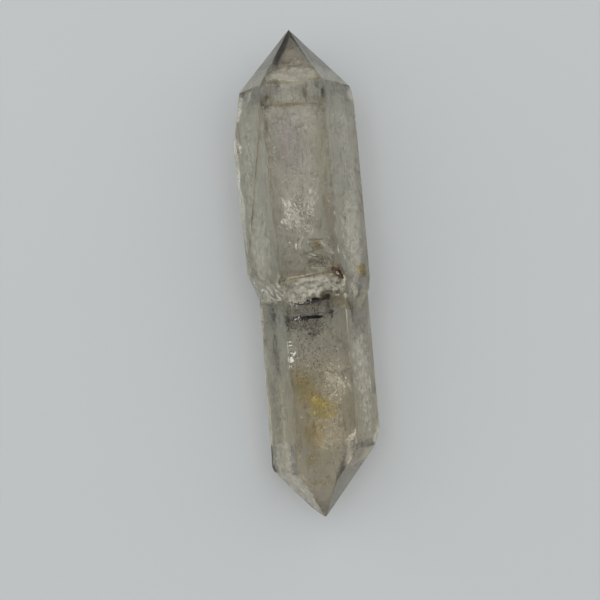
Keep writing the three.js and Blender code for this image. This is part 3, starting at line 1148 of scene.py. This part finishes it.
# Frosting of the surface: the shoulder, the wedge and feathers over it, the slim front, and dull faces.
FROSTED = (
    FrostPatch((0.2, -1.9, 12.4), (4.6, 2.2, 3.0), 10500, 0.4, 0.55, (0.02, 0.055), 2.4, 40.0, 30.0),
    FrostPatch((3.2, -1.6, 12.7), (1.3, 1.7, 2.0), 1000, 0.48, 0.35, (0.03, 0.07), 4.0, 25.0, 20.0),
    FrostPatch((-4.5, -2.2, 10.4), (2.3, 1.5, 4.0),
        6800, 0.38, 0.5, (0.02, 0.055), facing=(-0.4, -0.45, 0.8)),
    FrostPatch((5.9, -2.2, 9.5), (1.3, 1.8, 3.0), 1700, 0.46, 0.5, (0.03, 0.06), 3.0, 20.0),
    on_front(BROAD_FRONT, (2.8, 3.0), (0.7, 1.6), 800, 0.5, 0.2, (0.02, 0.05), 2.4, 60.0, 40.0),
    on_front(BROAD_FRONT, (-1.6, 8.2), (0.8, 1.8), 60, 0.36, 0.5, (0.02, 0.045), 10.0, 16.0, 29.0),
    on_front(BROAD_FRONT, (1.15, 9.3), (0.7, 2.1), 70, 0.36, 0.5, (0.02, 0.045), 10.0, 14.0, -16.0),
    on_front(BROAD_FRONT, (-0.4, 6.6), (0.8, 1.3), 50, 0.36, 0.5, (0.02, 0.045), 9.0, 16.0, 35.0),
    on_front(BROAD_FRONT, (0.4, 5.1), (1.1, 0.9), 300, 0.5, 0.25, (0.02, 0.05), 2.6, 40.0, 30.0),
    on_front(BROAD_FRONT, (-0.1, 9.4), (2.7, 6.0), 2400, 0.55, 0.35, (0.02, 0.045), 2.4, 50.0),
    on_front(BROAD_FRONT, (0.0, 20.8), (3.8, 3.8), 4200, 0.47, 0.6, (0.02, 0.045)),
    on_front(BROAD_FRONT, (0.4, 20.9), (3.6, 1.2), 1700, 0.49, 0.35, (0.015, 0.045), 2.0),
    FrostPatch((0.2, 25.2, 13.0), (3.6, 1.4, 2.5), 4200, 0.22, 1.2, (0.02, 0.04)),
    on_front(BROAD_FRONT, (0.0, 13.0), (4.1, 12.0), 2600, 0.57, 0.32, (0.02, 0.045)),
    FrostPatch((-5.6, 4.2, 10.5), (2.4, 7.0, 4.0), 5200, 0.34, 1.0, (0.015, 0.04), 4.0, 14.0),
    FrostPatch((6.0, 4.4, 10.5), (2.4, 7.0, 4.0), 8000, 0.33, 1.0, (0.015, 0.04), 4.0, 14.0),
    FrostPatch((-5.8, 14.0, 10.5), (1.7, 9.0, 3.2), 2000, 0.5, 0.5, (0.02, 0.045), 4.0, 14.0),
    FrostPatch((5.8, 14.0, 10.5), (1.7, 9.0, 3.2), 700, 0.54, 0.5, (0.02, 0.045), 4.0, 14.0),
    on_front(SLIM_FRONT, (2.5, -15.4), (2.2, 3.7), 2600, 0.52, 0.4, (0.02, 0.05)),
    on_front(SLIM_FRONT, (2.9, -14.2), (1.1, 1.0), 240, 0.48, 0.3),
    on_front(SLIM_FRONT, (2.5, -12.2), (1.9, 3.4), 1900, 0.54, 0.22, (0.02, 0.05), 1.6, 60.0, -20.0),
    on_front(SLIM_FRONT, (1.9, -18.0), (1.6, 1.0), 420, 0.5, 0.25, (0.02, 0.05), 1.6, 60.0, -40.0),
    FrostPatch((-4.6, -24.3, 8.6), (1.9, 2.6, 3.4), 3600, 0.26, 1.2, (0.02, 0.045)),
    FrostPatch((4.7, -22.6, 9.2), (1.4, 3.2, 3.0), 1500, 0.42, 0.7, (0.02, 0.045), 3.0, 14.0),
    FrostPatch((6.0, -12.5, 8.5), (2.2, 6.0, 3.6), 6000, 0.36, 0.9, (0.015, 0.04), 4.0, 12.0),
    FrostPatch((6.2, -19.0, 8.5), (1.4, 4.0, 2.8), 2000, 0.47, 0.6, (0.02, 0.05), 4.0, 12.0),
    FrostPatch((-4.4, -16.0, 8.5), (1.5, 9.0, 2.8), 900, 0.55, 0.5, (0.02, 0.045), 4.0, 14.0),
    FrostPatch((-2.4, -28.4, 7.5), (4.6, 4.6, 6.0),
        8000, 0.16, 1.4, (0.02, 0.045), facing=(-0.69, -0.6, 0.4)),
    on_front(SLIM_FRONT, (0.8, -21.5), (2.8, 3.8), 1100, 0.54, 0.4, (0.02, 0.05)),
    on_front(SLIM_FRONT, (-0.4, -5.0), (2.6, 0.5), 260, 0.52, 0.25, (0.02, 0.05), 2.4, 40.0, -90.0),
    on_front(SLIM_FRONT, (-1.5, -5.9), (0.5, 0.7), 90, 0.5, 0.2, (0.02, 0.05)),
    FrostPatch((4.3, -0.7, 13.6), (0.25, 0.5, 1.0), 160, 0.4, 0.3, (0.03, 0.06)),
)
# Soot over the slim crystal's head, black because nothing lies between it and the eye.
SOOTED = (
    on_front(SLIM_FRONT, (-0.3, -10.0), (3.0, 4.2), 3000, 0.58, 0.24, (0.02, 0.045), 1.6, 90.0),
    on_front(SLIM_FRONT, (2.2, -13.0), (1.4, 2.6), 700, 0.6, 0.2, (0.015, 0.04), 1.6, 90.0),
    on_front(SLIM_FRONT, (0.0, -6.6), (3.2, 3.4), 3000, 0.55, 0.2, (0.015, 0.04), 2.0),
    on_front(SLIM_FRONT, (-2.6, -6.0), (0.8, 2.6), 1100, 0.5, 0.22, (0.015, 0.04), 3.0, 16.0),
    on_front(SLIM_FRONT, (2.6, -5.2), (0.8, 2.0), 1100, 0.51, 0.22, (0.015, 0.04), 2.4, 24.0),
    FrostPatch((-4.85, -5.0, 9.0), (0.5, 1.8, 2.6), 800, 0.47, 0.3, (0.015, 0.04), 4.0, 10.0),
    on_front(SLIM_FRONT, (0.6, -4.0), (2.9, 0.8), 1000, 0.51, 0.22, (0.02, 0.045), 2.4, 24.0, -80.0),
    FrostPatch((5.6, -9.2, 9.6), (0.45, 0.6, 1.6), 130, 0.45, 0.3, (0.02, 0.045), 1.4),
)
SPECKLED = (
    on_front(SLIM_FRONT, (-0.9, -10.6), (2.2, 3.8), 1500, 0.52, 0.55, (0.015, 0.045), 1.6, 90.0),
    on_front(SLIM_FRONT, (0.6, -22.6), (2.6, 3.4), 700, 0.55, 0.5, (0.015, 0.04), 1.6, 90.0),
    on_front(BROAD_FRONT, (-0.6, 16.5), (3.6, 6.5), 1200, 0.56, 0.7, (0.015, 0.035), 1.6, 90.0),
    on_front(SLIM_FRONT, (-0.2, -10.6), (3.4, 4.4), 5000, 0.55, 0.22, (0.02, 0.05), 1.6, 90.0),
    on_front(SLIM_FRONT, (1.6, -19.0), (3.2, 6.0), 3600, 0.57, 0.25, (0.02, 0.045), 1.8),
    on_front(BROAD_FRONT, (0.0, 14.0), (4.0, 11.0), 6000, 0.57, 0.25, (0.015, 0.04), 2.0),
    on_front(BROAD_FRONT, (1.5, 2.2), (2.4, 2.6), 2400, 0.53, 0.18, (0.015, 0.035), 4.0, 24.0, 62.0),
    on_front(BROAD_FRONT, (-1.8, 2.4), (1.9, 2.8), 2200, 0.52, 0.2, (0.015, 0.04), 2.0),
    FrostPatch((0.0, -1.7, 12.7), (4.6, 2.0, 2.4), 2400, 0.53, 0.2, (0.015, 0.04), 3.0, 40.0),
    FrostPatch((-5.8, 12.0, 10.5), (1.6, 12.0, 3.2), 2600, 0.57, 0.25, (0.015, 0.035), 4.0, 10.0),
    FrostPatch((5.9, 12.0, 10.5), (1.6, 12.0, 3.2), 2600, 0.57, 0.25, (0.015, 0.035), 4.0, 10.0),
    FrostPatch((6.1, 3.0, 10.3), (0.9, 1.3, 2.4), 200, 0.52, 0.25, (0.015, 0.04)),
)
OCHRE_CRUST = (
    FrostPatch((7.0, -0.1, 8.8), (0.8, 0.85, 2.8), 800, 0.43, 0.3, (0.02, 0.05)),
    on_front(SLIM_FRONT, (1.0, -17.2), (0.8, 1.2), 160, 0.52, 0.3, (0.02, 0.05), 1.6, 60.0, -60.0),
    on_front(SLIM_FRONT, (-1.4, -14.6), (0.8, 2.4), 160, 0.55, 0.3, (0.02, 0.045)),
    on_front(BROAD_FRONT, (1.6, 3.3), (0.6, 1.1), 150, 0.5, 0.25, (0.015, 0.045), 2.0, 40.0, 40.0),
    FrostPatch((-3.5, -0.8, 13.2), (0.25, 0.9, 1.4), 70, 0.5, 0.3, (0.015, 0.04), 1.6, 40.0, -25.0),
    FrostPatch((4.5, -0.9, 13.2), (0.25, 0.7, 1.4), 90, 0.46, 0.3, (0.02, 0.045), 1.6, 40.0, 15.0),
)

# Painted glints: pure white flakes pressed at the left edge of the slim crystal's front face, in the pit and
# by the black lens, where growth steps catch the light; and shards that catch the light.
PAINTED_GLINT_STEPS = (
    pressed((-2.9, -8.82, 11.3), (0.0, 0.06, 0.0), (0.34, -0.03, 0.0), 60),
    pressed((-2.87, -9.28, 11.3), (0.0, 0.06, 0.0), (0.34, 0.02, 0.0), 60),
    pressed((-2.78, -9.72, 11.3), (0.0, 0.06, 0.0), (0.32, -0.05, 0.0), 50, (0.02, 0.05), 1.4, 0.3, 0.2),
    pressed((-3.2, -9.5, 11.3), (0.06, -0.8, 0.0), (0.06, 0.0, 0.0), 110),
    pressed((-2.38, -10.4, 11.3), (0.18, 0.26, 0.0), (0.09, -0.06, 0.0), 70),
    pressed((-2.75, -10.3, 11.3), (-0.25, 0.05, 0.0), (0.0, 0.05, 0.0), 30),
    pressed((-2.9, -11.15, 11.3), (0.02, -0.42, 0.0), (0.38, 0.04, 0.0), 420, (0.03, 0.06), 1.4, 0.25, 0.3),
    pressed((-2.98, -11.95, 11.3), (0.04, -0.45, 0.0), (0.17, 0.0, 0.0), 130, (0.02, 0.05), 1.4, 0.4, 0.2),
    pressed((-1.95, -5.95, 11.3), (0.2, 0.1, 0.0), (0.0, 0.14, 0.0), 40, (0.02, 0.05), 1.4, 0.2, 0.2),
    pressed((-1.45, -5.75, 11.3), (0.1, 0.1, 0.0), (0.0, 0.08, 0.0), 24),
    pressed((3.95, -0.35, 13.8), (0.12, -0.3, 0.0), (0.12, 0.05, 0.0), 60),
)
PRESSED_FILMS = (
    pressed((-1.2, -4.0, 11.3), (1.1, 0.14, 0.0), (-0.02, 0.1, 0.0), 300, (0.02, 0.05), 3.0, 0.3, 0.3, 12),
    pressed((1.0, -3.62, 11.3), (1.7, 0.28, 0.0), (-0.04, 0.32, 0.0),
        1700, (0.02, 0.06), 2.8, 0.38, 0.25, 16),
    pressed((2.5, -3.2, 11.4), (0.5, 0.2, 0.0), (-0.06, 0.4, 0.0), 500, (0.02, 0.05), 2.0, 0.4, 0.2, 40),
    pressed((0.55, -5.8, 11.3), (1.05, -0.06, 0.0), (0.0, 0.17, 0.0), 900, (0.02, 0.05), 2.6, 0.16, 0.3, 10),
    pressed((-0.7, -5.95, 11.3), (0.7, -0.15, 0.0), (0.05, 0.34, 0.0), 700, (0.02, 0.05), 1.6, 0.4, 0.2),
    pressed((-1.9, -5.9, 11.3), (0.5, 0.05, 0.0), (0.0, 0.45, 0.0), 420, (0.02, 0.05), 1.4, 0.46, 0.2),
    pressed((0.4, -8.1, 11.3), (0.8, -0.3, 0.0), (0.03, 0.12, 0.0), 120, (0.02, 0.045), 2.0, 0.44, 0.2, 20),
)
# Etched lines that break up the shoulder's edges.
ETCHED_EDGES = (
    pressed((-0.1, -0.42, 14.0), (3.6, 0.76, 0.0), (0.0, 0.3, 0.0), 420, (0.012, 0.03), 2.4, 0.48, 0.3),
    pressed((4.45, -1.0, 13.0), (0.2, -1.4, -0.4), (0.16, 0.0, 0.0), 420, (0.015, 0.045), 2.0, 0.38, 0.3, 30),
    pressed((-3.75, -1.1, 13.0), (-0.1, -0.9, -0.4), (0.16, 0.0, 0.0),
        300, (0.015, 0.045), 2.0, 0.4, 0.3, 30),
    pressed((4.75, -6.5, 10.6), (0.1, -3.6, 0.0), (0.1, 0.0, 0.0), 500, (0.015, 0.035), 3.0, 0.4, 0.5, 10),
    pressed((-4.6, -3.4, 9.6), (1.4, 0.0, 0.0), (0.0, 0.14, 0.0), 420, (0.015, 0.04), 2.0, 0.38, 0.3, 40),
)
STROKES = (
    pressed((1.6, 1.6, 14.3), (-1.7, 0.7, 0.0), (0.3, 0.75, 0.0), 70, (0.012, 0.024), 16.0, 0.0, 1.0, 14),
    pressed((2.6, 1.0, 14.3), (-0.8, 0.8, 0.0), (0.4, 0.5, 0.0), 40, (0.012, 0.024), 14.0, 0.0, 1.0, 16),
    pressed((-0.55, 3.9, 14.3), (0.35, 0.7, 0.0), (0.35, -0.18, 0.0), 16, (0.012, 0.022), 18.0, 0.0, 1.0, 5),
    pressed((-0.6, 7.6, 14.3), (1.2, -2.2, 0.0), (1.2, 0.6, 0.0), 60, (0.012, 0.022), 12.0, 0.0, 1.0, 24),
    pressed((3.0, -1.9, 12.4), (0.5, -1.1, -0.8), (0.9, 0.1, 0.1), 50, (0.012, 0.022), 12.0, 0.0, 1.0, 22),
)
PRESSED_RUST = (
    pressed((3.62, 0.15, 14.2), (0.3, -0.14, 0.0), (0.05, 0.13, 0.0), 130, (0.02, 0.05), 1.5, 0.3, 0.2),
    pressed((4.35, -0.5, 13.6), (0.2, -0.55, -0.1), (0.11, 0.05, -0.1), 170, (0.02, 0.05), 1.5, 0.34, 0.2),
    pressed((-3.5, -0.75, 13.4), (-0.32, -0.75, -0.4), (0.12, 0.0, 0.0),
        80, (0.015, 0.04), 1.6, 0.44, 0.25, 40),
)
SHARDS = (
    Sheet((2.0, 1.5, 13.4), (-1.4, 0.6, 0.1), (0.1, 0.4, 0.1),
        90, (0.025, 0.05), 8.0, 0.1, 0.15, 0.0, 1.0, 16),
    Sheet((1.8, 0.8, 13.4), (-1.5, 0.0, 0.1), (0.1, 0.3, 0.1),
        80, (0.025, 0.05), 9.0, 0.1, 0.15, 0.0, 1.0, 14),
    Sheet((2.6, 1.4, 13.4), (-0.5, 0.9, 0.1), (0.6, 0.2, 0.1),
        60, (0.025, 0.05), 8.0, 0.1, 0.15, 0.0, 1.0, 18),
    Sheet((-0.6, 3.9, 13.0), (0.35, 0.75, 0.0), (0.4, -0.2, 0.1),
        30, (0.02, 0.04), 11.0, 0.1, 0.1, 0.0, 1.0, 6),
    Sheet((-0.3, 7.9, 12.4), (0.8, -1.6, 0.2), (1.6, 0.9, 0.2), 260, (0.02, 0.05), 4.0, 0.4, 0.4),
    Sheet((-5.9, 15.5, 9.6), (0.3, 5.0, 0.0), (0.6, 0.0, 1.0),
        220, (0.02, 0.05), 3.0, 0.1, 0.3, 0.0, 1.0, 20),
    Sheet((-3.2, 17.5, 13.4), (0.1, 3.0, 0.0), (0.6, 0.0, 0.2), 60, (0.03, 0.06), 1.4, 0.1, 0.3),
    Sheet((4.9, 19.7, 11.9), (0.05, -0.5, 0.0), (0.06, 0.0, -0.1),
        30, (0.03, 0.05), 2.0, 0.0, 0.04, 0.0, 1.0, 10),
    Sheet((2.6, -14.6, 10.9), (0.1, -2.6, 0.0), (1.4, 0.0, 0.1), 200, (0.03, 0.07), 1.6, 0.1, 0.3),
    Sheet((3.2, -2.0, 11.9), (0.5, -1.1, 0.0), (0.9, 0.1, 0.0),
        160, (0.02, 0.05), 7.0, 0.1, 0.15, 0.0, 1.0, 20),
    Sheet((0.0, 13.0, 13.0), (0.0, 11.0, 0.0), (3.8, 0.0, 0.0),
        260, (0.02, 0.05), 2.0, 0.0, 0.5, 0.0, 1.0, 90),
    Sheet((0.9, -15.5, 10.6), (0.0, -9.0, 0.0), (3.6, 0.0, 0.0),
        200, (0.02, 0.05), 2.0, 0.0, 0.4, 0.0, 1.0, 90),
)

# Black films along the neck, the black lens under them, and the smears at either side.
NECK_FILMS = (
    Sheet((-1.35, -4.02, 11.2), (1.1, 0.13, 0.0), (-0.02, 0.2, 0.03),
        800, (0.03, 0.08), 2.6, 0.0, 0.06, 0.0, 1.0, 14),
    Sheet((0.4, -3.72, 11.2), (1.2, 0.24, 0.0), (-0.05, 0.42, 0.05),
        1700, (0.03, 0.07), 2.8, 0.0, 0.08, 0.37, 0.35, 16),
    Sheet((2.2, -3.15, 11.2), (0.9, 0.28, 0.0), (-0.1, 0.5, 0.05),
        1300, (0.02, 0.06), 2.6, 0.0, 0.08, 0.41, 0.3, 22),
    Sheet((0.6, -3.85, 11.0), (2.9, 0.45, 0.0), (0.0, 0.75, 0.1),
        1300, (0.02, 0.05), 3.0, 0.0, 0.15, 0.46, 0.3, 20),
    Sheet((0.35, -5.82, 11.1), (1.3, -0.05, 0.0), (0.0, 0.22, 0.02),
        900, (0.02, 0.06), 2.6, 0.0, 0.08, 0.3, 0.4, 12),
    Sheet((-1.4, -5.95, 11.1), (0.8, -0.1, 0.0), (0.05, 0.42, 0.05),
        900, (0.03, 0.08), 1.4, 0.0, 0.08, 0.38, 0.35),
    Sheet((0.4, -8.0, 11.0), (0.9, -0.25, 0.0), (0.05, 0.6, 0.05),
        420, (0.02, 0.07), 1.6, 0.0, 0.1, 0.44, 0.35),
    Sheet((-3.05, -5.8, 11.0), (0.25, -1.9, 0.0), (0.45, 0.0, 0.05),
        700, (0.02, 0.06), 2.4, 0.0, 0.1, 0.42, 0.4, 20),
    Sheet((2.7, -5.0, 11.0), (0.25, -1.4, 0.0), (0.45, 0.0, 0.05),
        800, (0.02, 0.06), 1.8, 0.0, 0.1, 0.4, 0.4, 40),
    Sheet((-4.85, -5.1, 8.6), (0.25, -1.35, 0.0), (0.25, 0.0, 0.4),
        1000, (0.02, 0.06), 3.0, 0.0, 0.12, 0.34, 0.6, 12),
    Sheet((5.6, -9.2, 9.6), (0.0, -0.42, 0.0), (0.25, 0.0, -0.35),
        260, (0.03, 0.08), 1.2, 0.0, 0.05, 0.3, 0.4),
    Sheet((5.3, -5.4, 9.8), (0.15, -1.5, 0.0), (0.25, 0.0, -0.4),
        420, (0.02, 0.05), 2.4, 0.0, 0.1, 0.42, 0.4, 20),
    Sheet((6.2, 3.1, 10.3), (0.1, -0.6, 0.0), (0.5, 0.0, -0.8), 120, (0.02, 0.05), 1.6, 0.0, 0.1, 0.38, 0.4),
)
DUSK = (
    Sheet((-3.65, 22.0, 13.9), (0.1, 0.85, 0.0), (0.35, 0.0, 0.0),
        260, (0.02, 0.06), 1.6, 0.0, 0.06, 0.42, 0.5, 40),
    Sheet((1.5, 22.9, 14.0), (0.05, 0.85, 0.0), (0.16, 0.0, 0.0),
        200, (0.02, 0.05), 2.0, 0.0, 0.04, 0.36, 0.5, 20),
    Sheet((3.8, 22.8, 13.7), (0.05, 0.85, 0.0), (0.2, 0.0, 0.0),
        240, (0.02, 0.05), 2.0, 0.0, 0.04, 0.34, 0.5, 20),
    Sheet((-0.2, -6.2, 10.8), (0.1, -2.8, 0.0), (3.5, 0.1, 0.1),
        4600, (0.02, 0.06), 1.8, 0.2, 0.3, 0.42, 0.5),
    Sheet((-0.2, -11.0, 10.9), (0.2, -4.2, 0.0), (3.2, 0.1, 0.1),
        1800, (0.015, 0.05), 1.3, 0.1, 0.3, 0.46, 0.5, 90),
    Sheet((0.0, -10.4, 10.9), (0.2, -4.6, 0.0), (3.2, 0.1, 0.1),
        260, (0.05, 0.09), 1.2, 0.1, 0.2, 0.0, 1.0, 90),
    Sheet((1.4, -19.6, 10.9), (0.2, -5.0, 0.0), (3.0, 0.0, 0.1),
        1300, (0.015, 0.045), 1.8, 0.1, 0.3, 0.48, 0.5, 50),
    Sheet((-4.7, -9.9, 8.2), (0.5, -4.4, 0.0), (0.45, 0.0, 0.7),
        1800, (0.015, 0.04), 5.0, 0.0, 0.2, 0.4, 0.8, 10),
    Sheet((-4.7, -17.5, 8.0), (0.5, -7.5, 0.0), (0.6, 0.0, 1.0),
        1000, (0.012, 0.035), 5.0, 0.0, 0.2, 0.46, 0.8, 10),
    Sheet((6.0, -9.0, 8.8), (0.3, -6.0, 0.0), (0.6, 0.0, -1.0),
        1200, (0.012, 0.035), 5.0, 0.0, 0.2, 0.45, 0.8, 12),
    Sheet((1.5, 3.2, 13.3), (0.9, -0.9, 0.0), (0.7, 0.6, 0.1),
        420, (0.015, 0.04), 2.6, 0.1, 0.3, 0.44, 0.3, 30),
    Sheet((1.8, 1.2, 13.2), (-1.8, 0.5, 0.0), (0.3, 0.9, 0.1),
        500, (0.012, 0.03), 9.0, 0.1, 0.3, 0.42, 0.25, 16),
    Sheet((-0.4, 7.8, 12.0), (0.6, -3.0, 0.2), (2.4, 0.7, 0.3),
        1500, (0.012, 0.04), 4.0, 0.3, 0.4, 0.44, 0.4, 30),
    Sheet((0.0, 15.0, 12.8), (0.2, 9.0, 0.0), (3.6, 0.0, 0.2),
        4600, (0.012, 0.035), 2.0, 0.2, 0.5, 0.46, 0.8),
    Sheet((-6.0, 12.0, 9.6), (0.4, 11.0, 0.0), (0.75, 0.0, 1.3),
        3000, (0.012, 0.032), 6.0, 0.0, 0.3, 0.45, 0.8, 8),
    Sheet((5.9, 12.0, 9.9), (-0.3, 11.0, 0.0), (0.75, 0.0, -1.3),
        3000, (0.012, 0.032), 6.0, 0.0, 0.3, 0.45, 0.8, 8),
    Sheet((-0.3, 24.75, 13.9), (2.9, 0.25, 0.0), (0.0, 0.12, 0.0),
        700, (0.015, 0.05), 2.4, 0.0, 0.05, 0.38, 0.6, 12),
    Sheet((4.6, -23.4, 8.6), (0.4, -1.9, 0.0), (0.7, 0.2, 0.0),
        1000, (0.015, 0.04), 2.0, 0.1, 0.4, 0.34, 0.9),
    Sheet((0.2, 21.3, 13.8), (3.2, 0.2, 0.0), (0.0, 1.0, 0.0),
        700, (0.015, 0.045), 1.6, 0.0, 0.1, 0.46, 0.4, 90),
)

# Rust round the pit and along the shoulder's left corner, and the ochre stains.
RUST_MARKS = (
    Sheet((3.62, 0.2, 13.8), (0.36, -0.12, 0.0), (0.08, 0.16, 0.0), 320, (0.03, 0.07), 1.5, 0.0, 0.08),
    Sheet((4.35, -0.45, 13.3), (0.22, -0.62, -0.1), (0.14, 0.05, -0.1), 420, (0.03, 0.07), 1.5, 0.0, 0.08),
    Sheet((4.55, -1.4, 12.5), (0.05, -0.3, 0.0), (0.1, 0.0, -0.1),
        120, (0.03, 0.06), 1.2, 0.0, 0.08, 0.3, 0.4),
    Sheet((-3.45, -0.8, 13.2), (-0.35, -0.8, -0.4), (0.14, 0.0, 0.0),
        160, (0.02, 0.06), 1.6, 0.0, 0.08, 0.36, 0.4, 30),
    Sheet((-5.1, -1.7, 11.8), (-0.7, -0.1, -0.4), (0.0, 0.16, 0.0),
        120, (0.02, 0.06), 1.4, 0.0, 0.08, 0.38, 0.4),
    Sheet((0.75, -1.5, 12.6), (0.1, -1.0, -0.7), (0.3, 0.0, 0.0),
        300, (0.015, 0.04), 4.0, 0.0, 0.08, 0.4, 0.4, 14),
    Sheet((2.4, -4.0, 11.2), (0.4, -1.2, 0.0), (0.3, 0.0, 0.0),
        120, (0.015, 0.04), 3.0, 0.0, 0.1, 0.44, 0.4, 20),
)
OCHRE_STAINS = (
    Sheet((7.0, -0.15, 7.9), (0.35, -0.95, 0.0), (0.8, 0.1, 0.0),
        2400, (0.025, 0.07), 1.5, 0.0, 0.2, 0.36, 0.5),
    Sheet((-1.5, -15.0, 10.7), (1.2, -2.9, 0.0), (1.1, 0.3, 0.0),
        1700, (0.015, 0.045), 1.6, 0.1, 0.3, 0.4, 0.9),
    Sheet((0.9, -17.4, 10.9), (1.5, -1.5, 0.0), (0.9, 0.9, 0.0),
        1300, (0.015, 0.05), 1.6, 0.1, 0.2, 0.4, 0.7),
    Sheet((-0.9, -20.6, 10.7), (0.6, -1.6, 0.0), (1.0, 0.2, 0.0),
        800, (0.015, 0.05), 1.6, 0.1, 0.3, 0.42, 0.8),
    Sheet((-1.3, -24.2, 10.8), (0.4, -0.9, 0.0), (0.7, 0.1, 0.0),
        300, (0.015, 0.04), 1.4, 0.1, 0.2, 0.42, 0.6),
    Sheet((0.8, -26.75, 10.0), (0.3, 0.05, 0.0), (0.0, 0.2, 0.0), 90, (0.02, 0.04), 1.4, 0.0, 0.05, 0.2, 0.6),
    Sheet((1.7, 3.3, 13.4), (0.5, -0.5, 0.0), (0.5, 0.3, 0.1),
        420, (0.015, 0.05), 2.0, 0.0, 0.15, 0.4, 0.5, 40),
    Sheet((3.6, 0.9, 13.6), (0.5, 0.3, 0.0), (0.4, -0.2, 0.0), 160, (0.015, 0.05), 1.4, 0.0, 0.1, 0.4, 0.4),
    Sheet((-2.0, -10.6, 10.9), (0.5, 1.9, 0.0), (0.8, -0.2, 0.0),
        420, (0.015, 0.05), 1.6, 0.1, 0.3, 0.44, 0.6),
)

# Tints of the surface: warm below the neck, grey at the slim crystal's head, ochre where iron soaked in, and
# painted shade over the broad point.
STAINS_AND_SHADE = (
    StainAndShade((0.9, -21.0, 9.0), (7.0, 17.5, 9.0), (240, 228, 206), 0.9, 0.8),
    StainAndShade((-0.2, -5.6, 11.5), (4.6, 3.4, 2.2), (188, 185, 178), 0.9, 3.0),
    StainAndShade((-4.9, -5.6, 8.4), (1.1, 2.6, 2.6), (150, 150, 148), 0.9, 2.6),
    StainAndShade((-4.9, -11.0, 8.2), (1.2, 4.2, 2.6), (196, 194, 188), 0.9, 2.4),
    StainAndShade((5.4, -5.2, 9.6), (0.8, 2.4, 1.6), (172, 166, 156), 0.9, 2.6),
    StainAndShade((6.3, -8.2, 8.6), (1.6, 3.0, 2.6), (210, 207, 198), 0.9, 2.6),
    StainAndShade((-1.2, -15.2, 11.5), (2.3, 4.4, 1.6), (230, 214, 140), 0.95, 1.6, 24.0),
    StainAndShade((0.9, -17.8, 11.5), (2.5, 2.2, 1.6), (236, 226, 128), 0.95, 1.6),
    StainAndShade((-0.7, -20.9, 11.5), (2.0, 2.9, 1.6), (232, 214, 156), 0.85, 1.6),
    StainAndShade((-1.2, -24.3, 11.2), (1.3, 1.6, 1.6), (228, 210, 160), 0.8, 2.0),
    StainAndShade((7.1, -0.1, 9.0), (1.3, 1.2, 1.9), (232, 202, 110), 0.95, 2.4),
    StainAndShade((4.1, -0.5, 13.9), (0.9, 1.5, 1.1), (150, 100, 42), 0.95, 2.4),
    StainAndShade((1.6, 3.3, 14.3), (1.2, 1.0, 1.4), (206, 192, 140), 0.8, 2.4),
    StainAndShade((1.8, 1.4, 14.3), (2.4, 1.3, 1.4), (196, 186, 166), 0.9, 2.6),
    StainAndShade((3.4, 7.0, 14.3), (0.9, 5.4, 1.4), (228, 214, 198), 0.9, 1.4, 4.0),
    StainAndShade((-1.0, 16.6, 14.3), (2.6, 6.0, 1.4), (236, 226, 246), 0.9, 1.2, 4.0),
    StainAndShade((3.0, 14.5, 14.3), (1.2, 6.5, 1.4), (240, 240, 222), 0.9, 1.2),
    StainAndShade((-3.9, 22.0, 14.3), (0.9, 1.3, 1.0), (150, 142, 126), 0.9, 2.4),
    StainAndShade((1.5, 22.9, 14.3), (0.5, 1.2, 1.0), (160, 152, 138), 0.9, 1.6),
    StainAndShade((3.9, 22.8, 14.0), (0.5, 1.2, 1.0), (140, 128, 114), 0.9, 1.4),
    StainAndShade((-3.7, 18.0, 14.0), (0.5, 4.0, 1.0), (190, 184, 168), 0.8, 2.0),
    StainAndShade((4.7, -23.4, 9.0), (1.5, 2.8, 4.0), (196, 184, 166), 0.9, 0.8),
    # Painted shade: grey over the broad point, which looks darker from above where one sees down the stone's
    # length.
    StainAndShade((0.1, 35.0, 9.0), (6.0, 9.0, 7.0), (198, 198, 204), 0.9, 0.6),
)


def main() -> None:
    """Builds the stone, what it holds, and the studio, and reports each piece."""
    logging.basicConfig(level=logging.INFO, format="%(name)s: %(message)s")
    stone = CrystalBody(ClearQuartz(stains_and_shade=STAINS_AND_SHADE)).build()
    log.info("%s: %d triangles", stone.name, len(stone.data.polygons))
    kinds = (
        Inclusions("veils", VEIL, stone, seed=3, tilt=0.3, sheets=FEATHERS + SHOULDER_CLOUDS + LOWER_CLOUDS),
        Inclusions("haze", VEIL, stone, seed=5, tilt=0.5, sheets=GENERAL_HAZE),
        Inclusions("shards", GLINT, stone, seed=11, thinness=0.1, sheets=SHARDS),
        Inclusions("films", FILM, stone, seed=13, sheets=NECK_FILMS),
        Inclusions("dusk", SPECK, stone, seed=17, sheets=DUSK),
        Inclusions("rust", RUST, stone, seed=19, sheets=RUST_MARKS),
        Inclusions("ochre", OCHRE, stone, seed=23, sheets=OCHRE_STAINS),
        Frost("frost", FROST, stone, seed=29, patches=FROSTED),
        Frost("soot", FILM, stone, seed=31, patches=SOOTED),
        Frost("speckles", SPECK, stone, seed=41, patches=SPECKLED),
        Frost("ochre_crust", OCHRE, stone, seed=37, patches=OCHRE_CRUST),
        # The steps piece is painted glints: white flakes where the growth steps catch the light.
        Pressed("steps", PAINTED_GLINT, stone, seed=43, sheets=PAINTED_GLINT_STEPS),
        Pressed("black_edges", FILM, stone, seed=47, sheets=PRESSED_FILMS),
        Pressed("etched_edges", FROST, stone, seed=61, sheets=ETCHED_EDGES),
        Pressed("strokes", SPECK, stone, seed=59, sheets=STROKES),
        Pressed("rust_rim", RUST, stone, seed=53, sheets=PRESSED_RUST),
    )
    for kind in kinds:
        piece = kind.build()
        log.info("%s: %d triangles", piece.name, len(piece.data.polygons))
    Studio().build()


if __name__ == "__main__":
    main()
